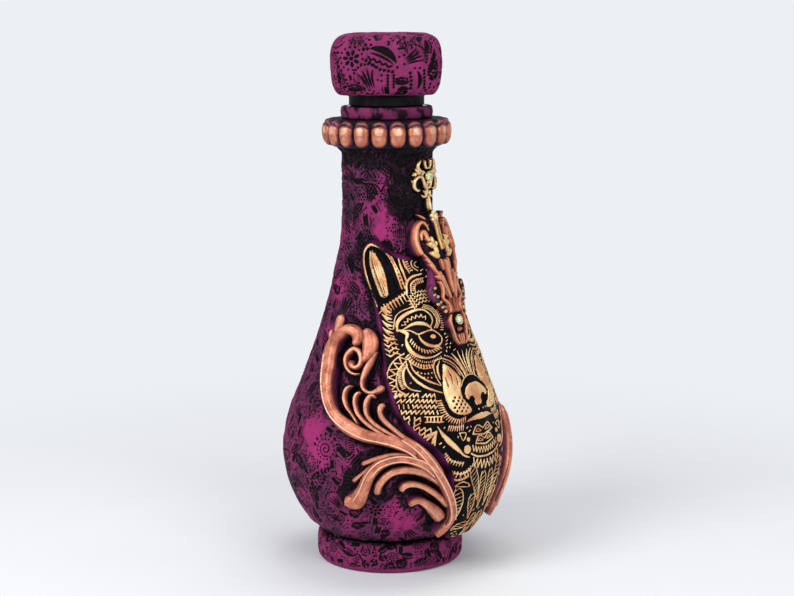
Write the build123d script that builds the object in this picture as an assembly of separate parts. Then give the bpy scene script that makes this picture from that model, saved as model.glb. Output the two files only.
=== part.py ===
from build123d import *
import os
from math import cos, hypot, pi, radians, sin, sqrt

os.makedirs("parts", exist_ok=True)

# Lengths are millimetres, angles are degrees, and the wolf looks along -Y.
# A share is a fraction of the named size that a point follows.

# Clay skin: its outer radii, from the foot to the neck, and where they lie
foot_radius = 40.7
foot_height = 13.5
foot_rounding = 2.2
groove_radius = 37.4
groove_height = 16.6
belly_radius = 59.4
belly_height = 62.0
neck_radius = 24.8
neck_low_height = 198.0
skin_top_height = 229.4
skin_thickness = 2.5
bond_gap = 0.1

# Leaves engraved in the skin: grooves pointed at both ends, spread by the golden angle
engraved_leaf_length = 10.0
engraved_leaf_width = 3.4
engraved_leaf_depth = 0.8
engraved_leaf_spacing = 14.5
engraved_leaf_lean = 38.0
golden_turn_share = 0.381966
skin_line_count = 240
bare_round_scroll = 12.0
bare_round_crest = 4.0
bare_round_ear = 6.0

# Glass blank under the skin
glass_wall = 4.0
floor_thickness = 12.0
floor_radius_share = 0.6
glass_foot_step = 2.6

# Mouth: painted lip ring, collar ring and its beads
lip_top_height = 251.0
lip_ring_height = 6.2
lip_rounding = 1.2
collar_ring_radius = 30.7
collar_ring_height = 15.0
collar_rounding = 2.0
bead_count = 21
bead_reach_radius = 35.0
bead_half_height = 6.8

# Stopper: head, base plate, shank and seal
stopper_turn = -53.0
stopper_width = 59.0
stopper_corner_radius = 12.0
stopper_top_height = 290.0
stopper_top_rounding = 7.0
stopper_foot_rounding = 5.5
base_plate_radius = 20.4
base_plate_flare = 1.9
base_plate_thickness = 6.0
seat_gap = 0.3
shank_radius = 8.0
shank_socket_depth = 14.0
seal_length = 27.0
seal_rib_count = 4
seal_rib_depth = 1.0
seal_rib_width = 3.2
seal_clearance = 0.1
turning_clearance = 0.05
shank_cap_radius = 12.0
shank_cap_thickness = 2.5

# Wolf casting: how far each level stands proud of the skin, and the mask's size
wolf_low_height = 17.4
wolf_high_height = 172.0
face_half_angle = 55.0
ear_turn = 61.0
ear_half_angle = 20.5
ear_low_height = 138.0
ear_tip_height = 181.0
mask_proud = 3.2
face_proud = 6.4
detail_proud = 7.6
nose_proud = 10.4
muzzle_radius = 15.0
muzzle_proud = 9.4
muzzle_height = 98.0
lip_pad_radius = 9.0
lip_pad_proud = 9.6
lip_pad_height = 96.0
lip_pad_angle = 11.5
chin_radius = 7.5
chin_proud = 8.2
chin_height = 85.5
pendant_bead_radius = 2.6
pendant_bead_height = 71.5
pendant_bead_angle = 13.5
lock_proud = 9.0
mouth_groove_width = 1.8
mouth_groove_proud = 7.4
feather_proud = 7.2

# Acanthus scrolls: where they lie and how far they stand proud
scroll_near_angle = 16.0
scroll_sweep = 82.0
scroll_turn = 53.0
scroll_low_height = 23.0
scroll_height = 115.0
scroll_bed_proud = 4.6
scroll_rib_proud = 7.4
scroll_trunk_proud = 9.4
scroll_rib_width_share = 0.6
scroll_trunk_width_share = 0.55
trunk_width = 6.3
frond_width = 2.7
bud_proud = 4.2

# Crest over the forehead
crest_low_height = 119.0
crest_high_height = 191.0
crest_half_angle = 33.0
crest_plate_proud = 9.2
crest_leaf_proud = 10.6
crest_leaf_width = 4.4
crest_bar_width = 4.6
crest_bar_low_height = 171.0
crest_bar_proud = 11.0
crest_flower_height = 149.0
crest_petal_width = 2.2
crest_petal_count = 5
crest_petal_fan = 32.0
crest_setting_radius = 3.4
crest_setting_proud = 10.8
crest_gem_radius = 1.7
crest_gem_height = 137.8
crest_gem_proud = 1.5
crest_drop_width = 4.6
crest_drop_low_height = 122.0
crest_drop_high_height = 131.5

# Charm on the neck and the link below it
charm_height = 214.0
charm_petal_count = 4
charm_petal_reach = 9.4
charm_petal_radius = 3.1
charm_proud = 3.6
charm_setting_radius = 3.2
charm_setting_proud = 4.6
charm_gem_radius = 2.2
charm_gem_proud = 1.6
link_ball_radius = 1.5
link_ball_step_share = 1.7
link_knob_radius = 2.5
link_knob_proud = 6.6
link_wire_radius = 0.8
gem_sides = 8
gem_table_share = 0.6

# Rows of an outline give the share of the angle and the share of the height
lower_belly_shares = [(0.0, 0.0), (0.09, 0.25), (0.25, 0.53), (0.5, 0.79), (0.78, 0.965)]
upper_belly_shares = [(0.0, 0.0), (0.16, 0.125), (0.33, 0.38), (0.5, 0.62), (0.68, 0.82), (0.85, 0.955), (1.0, 1.0)]


def skin_stations():
    """Radius and height of the skin's outer curve, from the groove to the foot of the neck."""
    rise = belly_height - groove_height
    swell = belly_radius - groove_radius
    lower = [(groove_radius + swell * out, groove_height + rise * up) for up, out in lower_belly_shares]
    climb = neck_low_height - belly_height
    draw_in = belly_radius - neck_radius
    upper = [(belly_radius - draw_in * inward, belly_height + climb * up) for up, inward in upper_belly_shares]
    return lower + upper


def moved_stations(proud):
    """The same curve moved outwards by proud, square to itself."""
    stations = skin_stations()
    moved = []
    for index, (radius, height) in enumerate(stations):
        before = stations[max(index - 1, 0)]
        after = stations[min(index + 1, len(stations) - 1)]
        run = (after[0] - before[0], after[1] - before[1])
        if index == len(stations) - 1:
            run = (0, 1)
        length = hypot(run[0], run[1])
        moved.append((radius + proud * run[1] / length, height - proud * run[0] / length))
    return moved


def skin_radius(height):
    """Outer radius of the skin at a height, straight between the stations."""
    stations = skin_stations()
    for (low_radius, low), (high_radius, high) in zip(stations, stations[1:]):
        if height <= high:
            return low_radius + (high_radius - low_radius) * max(height - low, 0) / (high - low)
    return neck_radius


def turned(points_and_edges):
    """A solid of revolution about the bottle's axis from edges in the XZ plane."""
    return revolve(Plane.XZ * make_face(points_and_edges), Axis.Z)


def skin_edges(proud, top):
    """The skin's curve moved out by proud, and the straight neck above it up to top."""
    points = moved_stations(proud)
    curve = Spline(*points)
    neck = Line(points[-1], (neck_radius + proud, top))
    return points[0], curve, neck


def skin_shell(inner_proud, outer_proud):
    """The layer between two offsets of the skin's outer curve."""
    outer_start, outer_curve, outer_neck = skin_edges(outer_proud, skin_top_height)
    inner_start, inner_curve, inner_neck = skin_edges(inner_proud, skin_top_height)
    top = Line(outer_neck @ 1, inner_neck @ 1)
    bottom = Line(inner_start, outer_start)
    return turned([outer_curve, outer_neck, top, inner_neck, inner_curve, bottom])


def skin_solid(proud):
    """Everything inside the skin's outer curve moved out by proud."""
    start, curve, neck = skin_edges(proud, skin_top_height)
    axis_low = (0, start[1])
    axis_high = (0, skin_top_height)
    return turned([curve, neck, Polyline(neck @ 1, axis_high, axis_low, start)])


def facing(turn):
    """A plane through the axis whose normal points out at an angle round from the wolf's front."""
    across = (cos(radians(turn)), sin(radians(turn)), 0)
    outwards = (sin(radians(turn)), -cos(radians(turn)), 0)
    return Plane(origin=(0, 0, 0), x_dir=across, z_dir=outwards)


def seen(angle, height, turn):
    """Where a point of the skin falls when the bottle is looked at along a turn."""
    return (skin_radius(height) * sin(radians(angle - turn)), height)


def stamped(outline, turn):
    """A prism that runs outwards, from inside the bottle, with a flat outline facing a turn."""
    plane = facing(turn)
    near = plane.offset(neck_radius / 3)
    return extrude(near * outline, belly_radius + nose_proud * 2)


def layer(outline, turn, low_proud, high_proud):
    """A flat outline laid on the skin, from one height proud of it to another."""
    return (stamped(outline, turn) & skin_solid(high_proud)) - skin_solid(low_proud)


def skin_normal(angle, height):
    """The skin's outward direction at an angle and height."""
    reach = neck_radius / 4
    slope = (skin_radius(height + reach) - skin_radius(height - reach)) / (2 * reach)
    return Vector(sin(radians(angle)), -cos(radians(angle)), -slope).normalized()


def on_skin(angle, height, proud):
    """A point at an angle and height, moved out square to the skin."""
    radius = skin_radius(height)
    foot = Vector(radius * sin(radians(angle)), -radius * cos(radians(angle)), height)
    return foot + skin_normal(angle, height) * proud


def cap(angle, height, radius, proud, seat):
    """A dome with a round foot of one radius, whose crown stands proud of the skin."""
    rise = proud - seat
    ball_radius = (radius * radius + rise * rise) / (2 * rise)
    return Location(on_skin(angle, height, proud - ball_radius)) * Sphere(ball_radius)


def gem(angle, height, radius, seat, rise):
    """A round stone with a flat table and sloping facets, seated square to the skin."""
    plane = Plane(origin=on_skin(angle, height, seat), z_dir=skin_normal(angle, height))
    girdle = plane * RegularPolygon(radius, gem_sides)
    table = plane.offset(rise) * RegularPolygon(radius * gem_table_share, gem_sides)
    return loft([girdle.face(), table.face()], ruled=True)


def rod(start, end, radius):
    """A round bar from one point to another."""
    along = end - start
    plane = Plane(origin=start, z_dir=along)
    return plane * Cylinder(radius, along.length, align=(Align.CENTER, Align.CENTER, Align.MIN))


def ribbon(points):
    """A flat leaf: points give x, height and width along its middle."""
    left = []
    right = []
    for index, (across, height, width) in enumerate(points):
        before = points[max(index - 1, 0)]
        after = points[min(index + 1, len(points) - 1)]
        run = (after[0] - before[0], after[1] - before[1])
        length = hypot(run[0], run[1])
        side = (-run[1] / length * width / 2, run[0] / length * width / 2)
        left.append((across + side[0], height + side[1]))
        right.append((across - side[0], height - side[1]))
    edges = [Spline(*left), Line(left[-1], right[-1]), Spline(*reversed(right)), Line(right[0], left[0])]
    return make_face(edges)


def mirrored(solid):
    """The same solid on the other side of the wolf."""
    return mirror(solid, Plane.YZ)


def only_solid(shape):
    """The largest solid of a shape, without crumbs that a cut may leave."""
    return max(shape.solids(), key=lambda solid: solid.volume)


# Clay skin with the leaves engraved in it
def skin_line():
    """Points of the skin's outer curve, close together, from the groove to the foot of the neck."""
    start, curve, neck = skin_edges(0, skin_top_height)
    points = [curve @ (index / skin_line_count) for index in range(skin_line_count + 1)]
    return [(point.X, point.Y) for point in points] + [(neck_radius, skin_top_height)]


def line_at(line, height):
    """Radius at a height and the slope there, as radius gained per height, from a close line of points."""
    for (low_radius, low), (high_radius, high) in zip(line, line[1:]):
        if height <= high:
            slope = (high_radius - low_radius) / (high - low)
            return low_radius + slope * (height - low), slope
    return line[-1][0], 0


def is_bare(angle, height):
    """Whether the castings on the front take the place of an engraved leaf."""
    round_scroll = scroll_near_angle + scroll_sweep + bare_round_scroll
    round_ear = ear_turn + ear_half_angle + bare_round_ear
    if height < scroll_low_height + scroll_height + engraved_leaf_length:
        return abs(angle) < round_scroll
    if height < ear_tip_height + engraved_leaf_length:
        return abs(angle) < round_ear
    return abs(angle) < crest_half_angle + bare_round_crest


def leaf_cutter():
    """A spindle lying along X whose underside cuts one leaf, with the skin at height zero."""
    half_width = engraved_leaf_width / 2
    half_length = engraved_leaf_length / 2
    girth_radius = (half_width ** 2 + engraved_leaf_depth ** 2) / (2 * engraved_leaf_depth)
    bow_radius = (half_length ** 2 + engraved_leaf_depth ** 2) / (2 * engraved_leaf_depth)
    tip = sqrt(2 * bow_radius * girth_radius - girth_radius ** 2)
    bow = ThreePointArc((-tip, 0), (0, girth_radius), (tip, 0))
    spindle = revolve(make_face([bow, Line((tip, 0), (-tip, 0))]), Axis.X)
    return Pos(Z=girth_radius - engraved_leaf_depth) * spindle


def make_body_cover():
    cover = skin_shell(-skin_thickness, 0)
    line = skin_line()
    cutter = leaf_cutter()
    cuts = []
    height = groove_height + engraved_leaf_spacing
    turn = 0
    while height < skin_top_height - engraved_leaf_spacing / 2:
        radius, slope = line_at(line, height)
        angle = (turn + 180) % 360 - 180
        if not is_bare(angle, height):
            side = Vector(cos(radians(angle)), sin(radians(angle)), 0)
            out = Vector(sin(radians(angle)), -cos(radians(angle)), -slope)
            spot = Vector(radius * sin(radians(angle)), -radius * cos(radians(angle)), height)
            lean = engraved_leaf_lean if len(cuts) % 2 else -engraved_leaf_lean
            cuts.append(Plane(origin=spot, x_dir=side, z_dir=out) * Rot(Z=lean) * cutter)
        height += engraved_leaf_spacing ** 2 / (2 * pi * radius)
        turn += 360 * golden_turn_share
    return only_solid(cover.cut(*cuts))


# Glass blank: foot, belly and neck in one wall, open at the mouth
glass_inset = skin_thickness + bond_gap
glass_neck_radius = neck_radius - glass_inset
glass_foot_radius = foot_radius - glass_foot_step
bore_radius = glass_neck_radius - glass_wall


def make_glass_bottle():
    outer_start, outer_curve, outer_neck = skin_edges(-glass_inset, lip_top_height)
    inner_points = moved_stations(-glass_inset - glass_wall)[1:]
    floor_rim = (groove_radius * floor_radius_share, floor_thickness)
    inner_curve = Spline(floor_rim, *inner_points)
    inner_neck = Line(inner_points[-1], (bore_radius, lip_top_height))
    foot_shoulder = (glass_foot_radius, foot_height - glass_foot_step)
    waist = (groove_radius - glass_inset, groove_height)
    edges = [
        Polyline((0, floor_thickness), (0, 0), (glass_foot_radius, 0), foot_shoulder, waist, outer_start),
        outer_curve,
        outer_neck,
        Line(outer_neck @ 1, inner_neck @ 1),
        inner_neck,
        inner_curve,
        Line(floor_rim, (0, floor_thickness)),
    ]
    return turned(edges)


# Clay over the foot, with a rounded lower rim
def make_foot_cover():
    inner_radius = glass_foot_radius + bond_gap
    waist_radius = groove_radius - skin_thickness
    top = groove_height - bond_gap
    profile = make_face(Polyline(
        (inner_radius, 0), (foot_radius - foot_rounding, 0), (foot_radius, foot_rounding),
        (foot_radius, foot_height), (groove_radius, top), (waist_radius, top),
        (inner_radius, foot_height - glass_foot_step), (inner_radius, 0)))
    return revolve(Plane.XZ * profile, Axis.Z)


# Painted ring round the mouth
def make_lip_cover():
    ring = Cylinder(neck_radius, lip_ring_height) - Cylinder(glass_neck_radius + bond_gap, lip_ring_height)
    rims = ring.edges().filter_by(GeomType.CIRCLE).sort_by(SortBy.RADIUS)[-2:]
    return Pos(Z=lip_top_height - lip_ring_height / 2) * fillet(rims, lip_rounding)


# Ring under the lip that carries the beads
collar_low_height = skin_top_height + bond_gap
collar_middle_height = collar_low_height + collar_ring_height / 2


def make_collar_ring():
    ring = Cylinder(collar_ring_radius, collar_ring_height)
    ring -= Cylinder(glass_neck_radius + bond_gap, collar_ring_height)
    rims = ring.edges().filter_by(GeomType.CIRCLE).sort_by(SortBy.RADIUS)[-2:]
    return Pos(Z=collar_middle_height) * fillet(rims, collar_rounding)


def make_collar_beads():
    """Half ovals with flat backs, which touch the ring's outside."""
    back = collar_ring_radius + bond_gap
    half_width = bead_reach_radius - back
    profile = make_face([
        EllipticalCenterArc((0, 0), half_width, bead_half_height, start_angle=-90, arc_size=180),
        Line((0, bead_half_height), (0, -bead_half_height)),
    ])
    half_oval = Rot(Z=-90) * revolve(Plane.XZ * profile, Axis.Z, 180)
    bead = Pos(X=back, Z=collar_middle_height) * half_oval
    return [Rot(Z=360 * index / bead_count) * bead for index in range(bead_count)]


# Stopper head: block, clay cover, base plate, shank, cap and seal
base_plate_low_height = lip_top_height + seat_gap
block_low_height = base_plate_low_height + base_plate_thickness + bond_gap
head_height = stopper_top_height - block_low_height
plate_top_radius = base_plate_radius + base_plate_flare


def rounded_block(width, height, corner, top_rounding, foot_rounding_size):
    block = extrude(RectangleRounded(width, width, corner), height)
    block = fillet(block.faces().sort_by(Axis.Z)[-1].edges(), top_rounding)
    return fillet(block.faces().sort_by(Axis.Z)[0].edges(), foot_rounding_size)


def make_stopper_block():
    inset = skin_thickness + bond_gap
    body = rounded_block(
        stopper_width - 2 * inset, head_height - inset - bond_gap,
        stopper_corner_radius - inset, stopper_top_rounding - inset, stopper_foot_rounding - inset)
    socket = Cylinder(shank_radius + bond_gap, shank_socket_depth, align=(Align.CENTER, Align.CENTER, Align.MIN))
    return Rot(Z=stopper_turn) * Pos(Z=block_low_height + bond_gap) * (body - socket)


def make_stopper_cover():
    outside = rounded_block(
        stopper_width, head_height, stopper_corner_radius, stopper_top_rounding, stopper_foot_rounding)
    hollow = rounded_block(
        stopper_width - 2 * skin_thickness, head_height - skin_thickness,
        stopper_corner_radius - skin_thickness, stopper_top_rounding - skin_thickness,
        stopper_foot_rounding - skin_thickness)
    return Rot(Z=stopper_turn) * Pos(Z=block_low_height) * (outside - hollow)


def make_stopper_base():
    plate = Cone(base_plate_radius, plate_top_radius, base_plate_thickness)
    plate -= Cylinder(shank_radius + bond_gap, base_plate_thickness)
    return Pos(Z=base_plate_low_height + base_plate_thickness / 2) * plate


seal_top_height = base_plate_low_height - bond_gap
seal_low_height = seal_top_height - seal_length
shank_low_height = seal_low_height - seat_gap - shank_cap_thickness
shank_top_height = block_low_height + bond_gap + shank_socket_depth - bond_gap


def make_stopper_shank():
    length = shank_top_height - shank_low_height
    return Pos(Z=shank_low_height + length / 2) * Cylinder(shank_radius, length)


def make_shank_cap():
    ring = Cylinder(shank_cap_radius, shank_cap_thickness) - Cylinder(shank_radius + bond_gap, shank_cap_thickness)
    return Pos(Z=shank_low_height + shank_cap_thickness / 2) * ring


def make_seal_sleeve():
    rib_radius = bore_radius - seal_clearance
    sleeve = Cylinder(rib_radius - seal_rib_depth, seal_length)
    rib = Cylinder(rib_radius, seal_rib_width)
    pitch = (seal_length - seal_rib_width) / (seal_rib_count - 1)
    for index in range(seal_rib_count):
        sleeve += Pos(Z=(seal_rib_width - seal_length) / 2 + pitch * index) * rib
    sleeve -= Cylinder(shank_radius + turning_clearance, seal_length)
    return Pos(Z=seal_low_height + seal_length / 2) * sleeve


# Wolf mask: half outlines, from the middle of the chest up to the forehead and round an ear
face_outline_shares = [
    (0.0, 0.0), (0.22, 0.03), (0.35, 0.11), (0.39, 0.26), (0.53, 0.35), (0.68, 0.4), (0.85, 0.47),
    (0.97, 0.58), (1.0, 0.68), (1.08, 0.77), (0.96, 0.86), (0.75, 1.0)]
ear_outline_shares = [
    (-0.15, -0.05), (0.38, 0.28), (0.82, 0.57), (1.0, 0.74), (0.95, 0.88), (0.72, 0.97), (0.43, 1.0),
    (0.0, 0.97), (-0.5, 0.9), (-1.1, 0.72), (-1.2, 0.3), (-0.9, 0.05)]
inner_face_share = 0.9
inner_chest_share = 0.04
inner_ear_share = 0.66
ear_middle_share = 0.55
eye_shares = [(0.24, 0.705), (0.38, 0.742), (0.58, 0.728), (0.45, 0.702), (0.34, 0.692)]
brow_shares = [(0.2, 0.76, 0.7), (0.36, 0.815, 1.0), (0.6, 0.835, 1.0), (0.8, 0.8, 0.8), (0.86, 0.75, 0.4)]
cheek_shares = [(0.8, 0.69, 0.5), (0.93, 0.62, 1.0), (0.95, 0.57, 1.0), (0.85, 0.52, 0.6)]
nose_shares = [(0.0, 0.497), (0.06, 0.51), (0.2, 0.54), (0.23, 0.565), (0.12, 0.575), (0.0, 0.577)]
garland_shares = [(0.5, 0.44, 0.4), (0.42, 0.385, 0.9), (0.33, 0.345, 1.0), (0.2, 0.315, 0.7), (0.04, 0.3, 0.4)]
under_eye_shares = [
    (0.72, 0.727, 0.4), (0.68, 0.695, 0.9), (0.59, 0.671, 1.0), (0.465, 0.662, 0.9), (0.35, 0.673, 0.4)]
muzzle_lock_shares = [
    (0.2, 0.665, 0.3), (0.29, 0.63, 0.8), (0.33, 0.59, 1.0), (0.31, 0.555, 1.0), (0.25, 0.535, 0.5)]
bridge_lock_shares = [(0.15, 0.68, 0.4), (0.165, 0.65, 0.8), (0.145, 0.615, 0.9), (0.115, 0.59, 0.5)]
mouth_shares = [(0.02, 0.472, 1.0), (0.14, 0.476, 1.0), (0.27, 0.486, 1.0), (0.38, 0.512, 0.6)]
feather_shares = [
    [(0.05, 0.315, 0.5), (0.05, 0.27, 1.0), (0.04, 0.215, 0.4)],
    [(0.14, 0.31, 0.5), (0.135, 0.265, 1.0), (0.12, 0.205, 0.4)],
    [(0.23, 0.3, 0.5), (0.22, 0.255, 1.0), (0.195, 0.2, 0.4)],
    [(0.07, 0.19, 0.5), (0.065, 0.15, 1.0), (0.05, 0.09, 0.4)]]
under_eye_width = 3.0
muzzle_lock_width = 3.6
bridge_lock_width = 2.4
feather_width = 4.0
brow_width = 4.2
cheek_width = 5.0
garland_width = 4.4
wolf_height = wolf_high_height - wolf_low_height
ear_height = ear_tip_height - ear_low_height


def face_point(angle_share, height_share):
    return seen(face_half_angle * angle_share, wolf_low_height + wolf_height * height_share, 0)


def both_sides(outline):
    """A closed outline from its half, which starts and ends on or near the middle."""
    other = [(-across, height) for across, height in reversed(outline) if across > 0]
    start = [point for point in outline if point[0] == 0]
    half = [point for point in outline if point[0] > 0]
    joined = start[:1] + half + start[1:] + other
    return joined + joined[:1]


def face_outline(width_share, drop_share):
    points = []
    for angle_share, height_share in face_outline_shares:
        across, height = face_point(angle_share, height_share)
        middle = wolf_low_height + wolf_height / 2
        points.append((across * width_share, middle + (height - middle) * (1 - drop_share)))
    return make_face(Polyline(*both_sides(points)))


def ear_outline(size_share):
    points = []
    middle = ear_low_height + ear_height * ear_middle_share
    for angle_share, height_share in ear_outline_shares:
        height = ear_low_height + ear_height * height_share
        across, height = seen(ear_turn + ear_half_angle * angle_share, height, ear_turn)
        points.append((across * size_share, middle + (height - middle) * size_share))
    return make_face(Polyline(*points, points[0]))


def face_ribbon(shares, width, side):
    """A raised ribbon on one side of the face; shares give angle, height and width."""
    rows = []
    for angle_share, height_share, width_share in shares:
        across, height = face_point(angle_share, height_share)
        rows.append((side * across, height, width * width_share))
    return ribbon(rows)


def make_wolf_casting(scrolls):
    ear = ear_outline(1)
    ear_proud = (mask_proud + face_proud) / 2
    ear_rim = layer(ear - ear_outline(inner_ear_share), ear_turn, bond_gap, ear_proud)
    tongue = layer(ear_outline(inner_ear_share / 2), ear_turn, bond_gap, ear_proud)
    left_ear = layer(ear, ear_turn, bond_gap, mask_proud) + ear_rim + tongue
    casting = layer(face_outline(1, 0), 0, bond_gap, mask_proud) + left_ear + mirrored(left_ear)
    raised = layer(face_outline(inner_face_share, inner_chest_share), 0, bond_gap, face_proud)
    ear_space = stamped(ear, ear_turn)
    casting += raised - ear_space - mirrored(ear_space)
    lines = []
    for side in (-1, 1):
        eye = [face_point(*row) for row in eye_shares]
        eye = [(side * across, height) for across, height in eye]
        lines.append(make_face(Polyline(*eye, eye[0])))
        lines.append(face_ribbon(brow_shares, brow_width, side))
        lines.append(face_ribbon(cheek_shares, cheek_width, side))
        lines.append(face_ribbon(garland_shares, garland_width, side))
        lines.append(face_ribbon(under_eye_shares, under_eye_width, side))
    for line in lines:
        casting += layer(line, 0, mask_proud, detail_proud)
    nose = make_face(Polyline(*both_sides([face_point(*row) for row in nose_shares])))
    casting += layer(nose, 0, mask_proud, nose_proud)
    domes = [cap(0, muzzle_height, muzzle_radius, muzzle_proud, face_proud)]
    domes.append(cap(0, chin_height, chin_radius, chin_proud, face_proud))
    for side in (-1, 1):
        domes.append(cap(side * lip_pad_angle, lip_pad_height, lip_pad_radius, lip_pad_proud, face_proud))
    for dome in domes:
        casting += dome - skin_solid(mask_proud)
    for side in (-1, 1):
        for shares, width in ((muzzle_lock_shares, muzzle_lock_width), (bridge_lock_shares, bridge_lock_width)):
            casting += layer(face_ribbon(shares, width, side), 0, mask_proud, lock_proud)
        for shares in feather_shares:
            casting += layer(face_ribbon(shares, feather_width, side), 0, mask_proud, feather_proud)
        mouth = stamped(face_ribbon(mouth_shares, mouth_groove_width, side), 0)
        casting -= mouth - skin_solid(mouth_groove_proud)
        spot = on_skin(side * pendant_bead_angle, pendant_bead_height, detail_proud)
        casting += Location(spot) * Sphere(pendant_bead_radius)
    for scroll_space in scrolls:
        casting -= scroll_space
    return only_solid(casting)


# Acanthus scroll: rows give shares of the sweep, the height and the branch's own width
stem_shares = [
    (0.79, 0.954, 0.75), (0.87, 0.933, 0.94), (0.935, 0.894, 0.94), (0.952, 0.84, 1.25), (0.942, 0.786, 1.25),
    (0.929, 0.733, 1.05), (0.9, 0.678, 0.9), (0.852, 0.619, 0.83), (0.79, 0.572, 0.92), (0.696, 0.531, 1.1),
    (0.595, 0.502, 0.97), (0.507, 0.49, 0.9), (0.42, 0.474, 0.9), (0.346, 0.45, 0.85), (0.283, 0.417, 0.85)]
trunk_shares = [
    (0.38, 0.495, 0.46), (0.324, 0.467, 0.67), (0.275, 0.434, 0.85), (0.23, 0.394, 1.0), (0.19, 0.351, 1.0),
    (0.15, 0.305, 0.8), (0.116, 0.26, 0.72), (0.083, 0.21, 0.68), (0.06, 0.16, 0.64), (0.054, 0.116, 0.64),
    (0.078, 0.08, 0.68), (0.12, 0.048, 0.48), (0.172, 0.014, 0.2)]
drop_shares = [
    (0.725, 0.225, 0.4), (0.69, 0.223, 1.0), (0.646, 0.226, 1.3), (0.606, 0.271, 1.0), (0.566, 0.336, 0.84),
    (0.517, 0.378, 0.8), (0.454, 0.4, 0.67), (0.382, 0.407, 0.6), (0.314, 0.396, 0.67), (0.25, 0.373, 0.75),
    (0.19, 0.332, 0.76)]
head_lobe_shares = [
    (0.79, 0.954, 0.76), (0.734, 0.943, 0.92), (0.717, 0.924, 0.8), (0.732, 0.908, 0.5), (0.75, 0.895, 0.18)]
side_lobe_shares = [
    (0.675, 0.967, 0.35), (0.638, 0.941, 0.78), (0.624, 0.915, 1.1), (0.624, 0.889, 1.18), (0.628, 0.863, 0.76),
    (0.636, 0.834, 0.18)]
volute_shares = [
    (0.784, 0.869, 0.8), (0.742, 0.89, 1.0), (0.704, 0.872, 1.0), (0.687, 0.842, 0.9), (0.702, 0.818, 0.8),
    (0.737, 0.812, 0.7), (0.762, 0.828, 0.7)]
hook_shares = [
    (0.539, 0.869, 0.4), (0.572, 0.84, 0.9), (0.6, 0.811, 1.26), (0.625, 0.78, 1.2), (0.641, 0.749, 0.9),
    (0.644, 0.718, 0.78), (0.624, 0.695, 0.7), (0.583, 0.683, 0.7), (0.541, 0.69, 0.96), (0.507, 0.703, 1.4),
    (0.482, 0.717, 0.78)]
frond_shares = [
    [(0.71, 0.713, 0.4), (0.751, 0.695, 0.8), (0.763, 0.668, 0.8), (0.756, 0.644, 0.8), (0.733, 0.617, 0.7),
     (0.694, 0.59, 0.5), (0.64, 0.545, 0.4)],
    [(0.642, 0.687, 0.45), (0.676, 0.672, 0.8), (0.683, 0.645, 0.8), (0.672, 0.617, 0.8), (0.651, 0.59, 0.8),
     (0.6, 0.557, 0.8), (0.53, 0.524, 0.7), (0.471, 0.503, 0.6)],
    [(0.536, 0.662, 0.67), (0.574, 0.672, 0.7), (0.601, 0.648, 1.0), (0.604, 0.609, 0.93), (0.579, 0.575, 0.8),
     (0.52, 0.541, 0.78), (0.44, 0.508, 0.7), (0.374, 0.48, 0.6)],
    [(0.471, 0.636, 0.6), (0.503, 0.627, 1.15), (0.51, 0.6, 0.96), (0.486, 0.569, 1.0), (0.436, 0.537, 0.9),
     (0.377, 0.501, 1.0), (0.33, 0.471, 1.3)],
    [(0.618, 0.381, 0.74), (0.568, 0.396, 0.9), (0.506, 0.413, 0.78), (0.433, 0.426, 0.65), (0.366, 0.423, 0.7),
     (0.303, 0.409, 0.9), (0.243, 0.385, 1.0)],
    [(0.667, 0.304, 0.9), (0.625, 0.332, 0.65), (0.568, 0.369, 0.6), (0.517, 0.395, 0.6)],
    [(0.524, 0.249, 1.25), (0.516, 0.288, 1.37), (0.482, 0.326, 1.37), (0.434, 0.351, 1.33), (0.372, 0.359, 1.37),
     (0.305, 0.355, 1.5), (0.241, 0.338, 1.5), (0.18, 0.308, 1.37), (0.127, 0.269, 1.07), (0.083, 0.22, 0.8)],
    [(0.39, 0.263, 0.9), (0.371, 0.289, 1.15), (0.331, 0.298, 1.03), (0.278, 0.29, 0.96), (0.219, 0.266, 1.07),
     (0.151, 0.227, 1.15), (0.081, 0.177, 1.18)],
    [(0.334, 0.195, 0.9), (0.317, 0.216, 1.07), (0.275, 0.221, 1.15), (0.216, 0.192, 1.67), (0.152, 0.148, 2.3),
     (0.1, 0.106, 2.1)]]
bud_shares = [(0.962, 1.03, 0.9), (0.974, 1.005, 1.5), (0.96, 0.984, 0.9), (0.955, 0.975, 0.3)]
small_bud_shares = [(1.045, 0.955, 0.6), (1.035, 0.935, 0.7), (1.025, 0.918, 0.2)]


def scroll_branch(shares, width):
    rows = []
    for sweep_share, height_share, width_share in shares:
        angle = -(scroll_near_angle + scroll_sweep * sweep_share)
        across, height = seen(angle, scroll_low_height + scroll_height * height_share, -scroll_turn)
        rows.append((across, height, width * width_share))
    return ribbon(rows)


def joined_branches(branches, width_share):
    """One flat figure of several branches; each branch is its shares and its full width."""
    figure = Sketch()
    for shares, width in branches:
        figure += scroll_branch(shares, width * width_share)
    return figure


trunk_branches = [(shares, trunk_width) for shares in (stem_shares, trunk_shares, drop_shares)]
lobe_branches = [(shares, trunk_width) for shares in (head_lobe_shares, side_lobe_shares)]
frond_branches = [(shares, frond_width) for shares in frond_shares + [volute_shares, hook_shares]]


def make_scroll():
    everything = trunk_branches + lobe_branches + frond_branches
    bed = joined_branches(everything, 1)
    ribs = joined_branches(everything, scroll_rib_width_share)
    heart = joined_branches(trunk_branches + lobe_branches, scroll_rib_width_share * scroll_trunk_width_share)
    scroll = layer(bed, -scroll_turn, bond_gap, scroll_bed_proud)
    scroll += layer(ribs, -scroll_turn, bond_gap * 2, scroll_rib_proud)
    scroll += layer(heart, -scroll_turn, bond_gap * 3, scroll_trunk_proud)
    return only_solid(scroll)


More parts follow.
